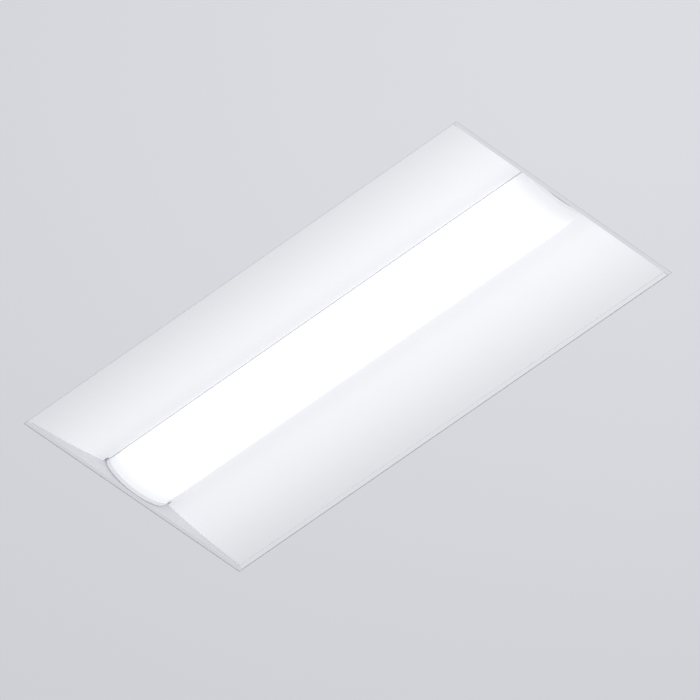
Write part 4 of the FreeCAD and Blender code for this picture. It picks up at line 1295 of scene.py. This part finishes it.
@dataclass
class RingTerminal:
    """The crimped ring on the ground lead, which its screw clamps to the tray."""

    centre: Vector = field(default_factory=lambda: Vector((-458.0, 64.0, 59.0)) * MM)
    sheet: float = 0.8 * MM
    outer: float = 4.4 * MM
    hole: float = 2.0 * MM
    neck_width: float = 3.2 * MM
    barrel_length: float = 6.0 * MM
    barrel_radius: float = 1.7 * MM
    barrel_rise: float = 1.8 * MM
    crimp: float = 0.72
    crimp_half_share: float = 0.15
    ring_steps: int = 32
    barrel_sides: int = 20

    def barrel(self) -> bpy.types.Mesh:
        """Shape the barrel along Y about the origin, pinched flat in its middle.

        Returns:
            The barrel's mesh.
        """
        mesh = bmesh.new()
        bmesh.ops.create_cone(mesh, cap_ends=True, segments=self.barrel_sides, radius1=self.barrel_radius,
                              radius2=self.barrel_radius, depth=self.barrel_length,
                              matrix=Matrix.Rotation(math.pi / 2, 4, "X"))
        edge_y = self.barrel_length * self.crimp_half_share
        for place_y in (-edge_y, edge_y):
            bmesh.ops.bisect_plane(mesh, geom=all_of(mesh), plane_co=(0, place_y, 0), plane_no=(0, 1, 0))
        pinched = [vertex for vertex in mesh.verts if abs(vertex.co.y) < edge_y * 1.3]
        bmesh.ops.scale(mesh, vec=(1.0, 1.0, self.crimp), verts=pinched)
        return as_mesh("barrel_pattern", mesh)

    def build(self, finishes: Finishes) -> bpy.types.Object:
        """Build the ring, its neck and its crimped barrel.

        Args:
            finishes: The built finishes.

        Returns:
            The terminal.
        """
        mesh = bmesh.new()
        lathe(mesh, [(self.hole, 0), (self.outer, 0), (self.outer, self.sheet), (self.hole, self.sheet),
                     (self.hole, 0)], self.ring_steps)
        barrel_start = -self.outer - self.barrel_length
        neck = bmesh.ops.create_cube(mesh, size=1.0)["verts"]
        reach = self.barrel_length + self.outer - self.hole
        bmesh.ops.scale(mesh, vec=(self.neck_width, reach, self.sheet), verts=neck)
        bmesh.ops.translate(mesh, vec=(0, barrel_start + reach / 2, self.sheet / 2), verts=neck)
        barrel = self.barrel()
        middle = Vector((0, barrel_start + self.barrel_length / 2, self.barrel_rise))
        stamp(mesh, barrel, Matrix.Translation(middle))
        bpy.data.meshes.remove(barrel)
        bmesh.ops.translate(mesh, vec=self.centre, verts=mesh.verts)
        return finish_piece("ring_terminal", mesh, "housing", Slot.ZINC, finishes)


# ------------------------------------------------------------------ studio
@dataclass
class Studio:
    """Camera, lamps, world and the plain pale surface round the light."""

    azimuth: float = 45.0
    elevation: float = -44.0
    focal_length: float = 1500.0
    sensor: float = 36.0
    frame_width: float = 1.3885
    centre_shift_right: float = -3.0
    centre_shift_up: float = 1.6
    picture_pixels: float = 700.0
    surface_half: float = 7.0
    surface_gap: float = 0.8 * MM
    surface_depth: float = 15.0 * MM
    surface_colour: tuple = (0.815, 0.82, 0.86)
    world_colour: tuple = (0.98, 0.985, 1.0, 1.0)
    world_strength: float = 0.685
    nearest_seen: float = 0.1
    farthest_seen: float = 2000.0

    def view_axes(self) -> "tuple[Vector, Vector, Vector]":
        """Work out the camera's directions.

        Returns:
            The directions towards the camera, to the picture's right and up.
        """
        turn, tilt = math.radians(self.azimuth), math.radians(self.elevation)
        back = Vector((math.sin(turn) * math.cos(tilt), -math.cos(turn) * math.cos(tilt), math.sin(tilt)))
        right = Vector((math.cos(turn), math.sin(turn), 0))
        return back, right, back.cross(right)

    def add_camera(self) -> None:
        """Place the camera so that the opening falls where the photograph has it."""
        back, right, up = self.view_axes()
        data = bpy.data.cameras.new("camera")
        data.lens = self.focal_length
        data.sensor_width = self.sensor
        distance = self.frame_width / 2 / (self.sensor / 2 / self.focal_length)
        pixel = self.frame_width / self.picture_pixels
        target = -right * (self.centre_shift_right * pixel) - up * (self.centre_shift_up * pixel)
        camera = add_object("camera", data)
        camera.location = target + back * distance
        camera.rotation_mode = "QUATERNION"
        camera.rotation_quaternion = back.to_track_quat("Z", "Y")
        data.clip_start = self.nearest_seen
        data.clip_end = self.farthest_seen
        bpy.context.scene.camera = camera

    def add_surface(self) -> bpy.types.Object:
        """Add the pale surface at flange height, open where the light sits.

        Returns:
            The surface.
        """
        low, high = (Vector(corner) for corner in CAD_BOUNDS)
        gap = self.surface_gap
        mesh = bmesh.new()
        bmesh.ops.create_grid(mesh, x_segments=1, y_segments=1, size=self.surface_half)
        for place, normal in (((low.x - gap, 0, 0), (1, 0, 0)), ((high.x + gap, 0, 0), (1, 0, 0)),
                              ((0, low.y - gap, 0), (0, 1, 0)), ((0, high.y + gap, 0), (0, 1, 0))):
            bmesh.ops.bisect_plane(mesh, geom=all_of(mesh), plane_co=place, plane_no=normal)
        middle = [face for face in mesh.faces if face.calc_center_median().length < gap]
        bmesh.ops.delete(mesh, geom=middle, context="FACES")
        give_thickness(mesh, self.surface_depth, Vector((0, 0, -1)), Vector((0, self.surface_half, 0)))
        data = as_mesh("pale_surface", mesh)
        data.materials.append(Plaster("pale_surface", self.surface_colour, 0.9).make())
        surface = add_object("pale_surface", data)
        return surface

    def add_world(self) -> None:
        """Light the scene evenly from all sides."""
        world = bpy.data.worlds.new("studio")
        world.use_nodes = True
        background = world.node_tree.nodes["Background"]
        background.inputs["Color"].default_value = self.world_colour
        background.inputs["Strength"].default_value = self.world_strength
        bpy.context.scene.world = world

    def add_lamp(self, name: str, place: Vector, size: float, power: float) -> None:
        """Add a soft square lamp that points at the origin.

        Args:
            name: Its name.
            place: Where it stands, in metres.
            size: Of its square, in metres.
            power: In watts.
        """
        data = bpy.data.lights.new(name, "AREA")
        data.shape = "SQUARE"
        data.size = size
        data.energy = power
        lamp = add_object(name, data)
        lamp.location = place
        lamp.rotation_mode = "QUATERNION"
        lamp.rotation_quaternion = place.to_track_quat("Z", "Y")
        lamp.visible_camera = False

    def build(self) -> None:
        """Build the whole studio."""
        bpy.context.scene.view_settings.view_transform = "Standard"
        self.add_camera()
        self.add_surface()
        self.add_world()
        self.add_lamp("top_lamp", Vector((-1.2, -1.6, 2.6)), 3.4, 26.0)
        self.add_lamp("low_lamp", Vector((1.3, -0.2, -2.9)), 1.5, 20.0)


def driver_leads() -> "list[Lead]":
    """List the wires under and above the tray, with the routes of their CAD solids.

    Returns:
        The two output leads and the two supply leads.
    """
    leads = []
    for side, colour, slot in ((1, "red", Slot.RED_WIRE), (-1, "black", Slot.BLACK_WIRE)):
        route = [(-117.7, side * 4, 65), (-91.8, side * 4, 65), (-55.3, side * 6.5, 67.5),
                 (-21.2, side * 3.2, 65.5), (0, side * 2.2, 67), (0, side * 2.2, 50.4),
                 (-10.6, side * 18, 54.4), (-10.6, side * 40.7, 54.4)]
        name = "output_lead_" + colour
        leads.append(Lead(name + "_wire", slot, 0.9, 168.0, route, name))
    for offset, colour, slot in ((-1, "black", Slot.BLACK_WIRE), (1, "white", Slot.WHITE_WIRE)):
        y, end_y = offset * 4, 55 + offset * 3
        route = [(-432.3, y, 66), (-446.3, y, 66), (-459.3 + offset * 4, y + 11, 68.5),
                 (-469.3 + offset * 5, y + 28, 68.5), (-480.3 + offset * 4, end_y - 6, 66.5),
                 (-491.7, end_y, 64.5), (-505.7, end_y, 64.5)]
        name = "supply_lead_" + colour
        leads.append(Lead(name + "_wire", slot, 1.2, 100.0, route, name))
    return leads


def ground_lead() -> Lead:
    """Describe the green lead from the driver to the ring terminal on the tray.

    Returns:
        The lead.
    """
    route = [(-432.3, 10, 64), (-441.3, 10, 64), (-450.3, 23, 65), (-459.5, 38, 62.4), (-458, 44.6, 60.4),
             (-458, 53.6, 60.4)]
    return Lead("ground_lead_wire", Slot.GREEN_WIRE, 1.2, 57.0, route, "ground_lead_green")


def main() -> None:
    """Build every class in order and report each piece."""
    logging.basicConfig(level=logging.INFO, format="%(name)s: %(message)s")
    finishes = Finishes()
    LOG.info("dressed %d nodes", finishes.dress_nodes())
    for piece in SideReflectors().build(finishes):
        LOG.info("built %s", piece.name)
    LOG.info("built %s", Lens().build(finishes).name)
    for fasteners in fastener_sets():
        LOG.info("built %s", fasteners.build(finishes).name)
    for piece in LedPackages().build(finishes):
        LOG.info("built %s", piece.name)
    for lead in driver_leads():
        LOG.info("built %s", lead.build(finishes).name)
    terminal = RingTerminal().build(finishes)
    LOG.info("built %s", ground_lead().build(finishes, [terminal]).name)
    Studio().build()
    LOG.info("built the studio")


if __name__ == "__main__":
    main()
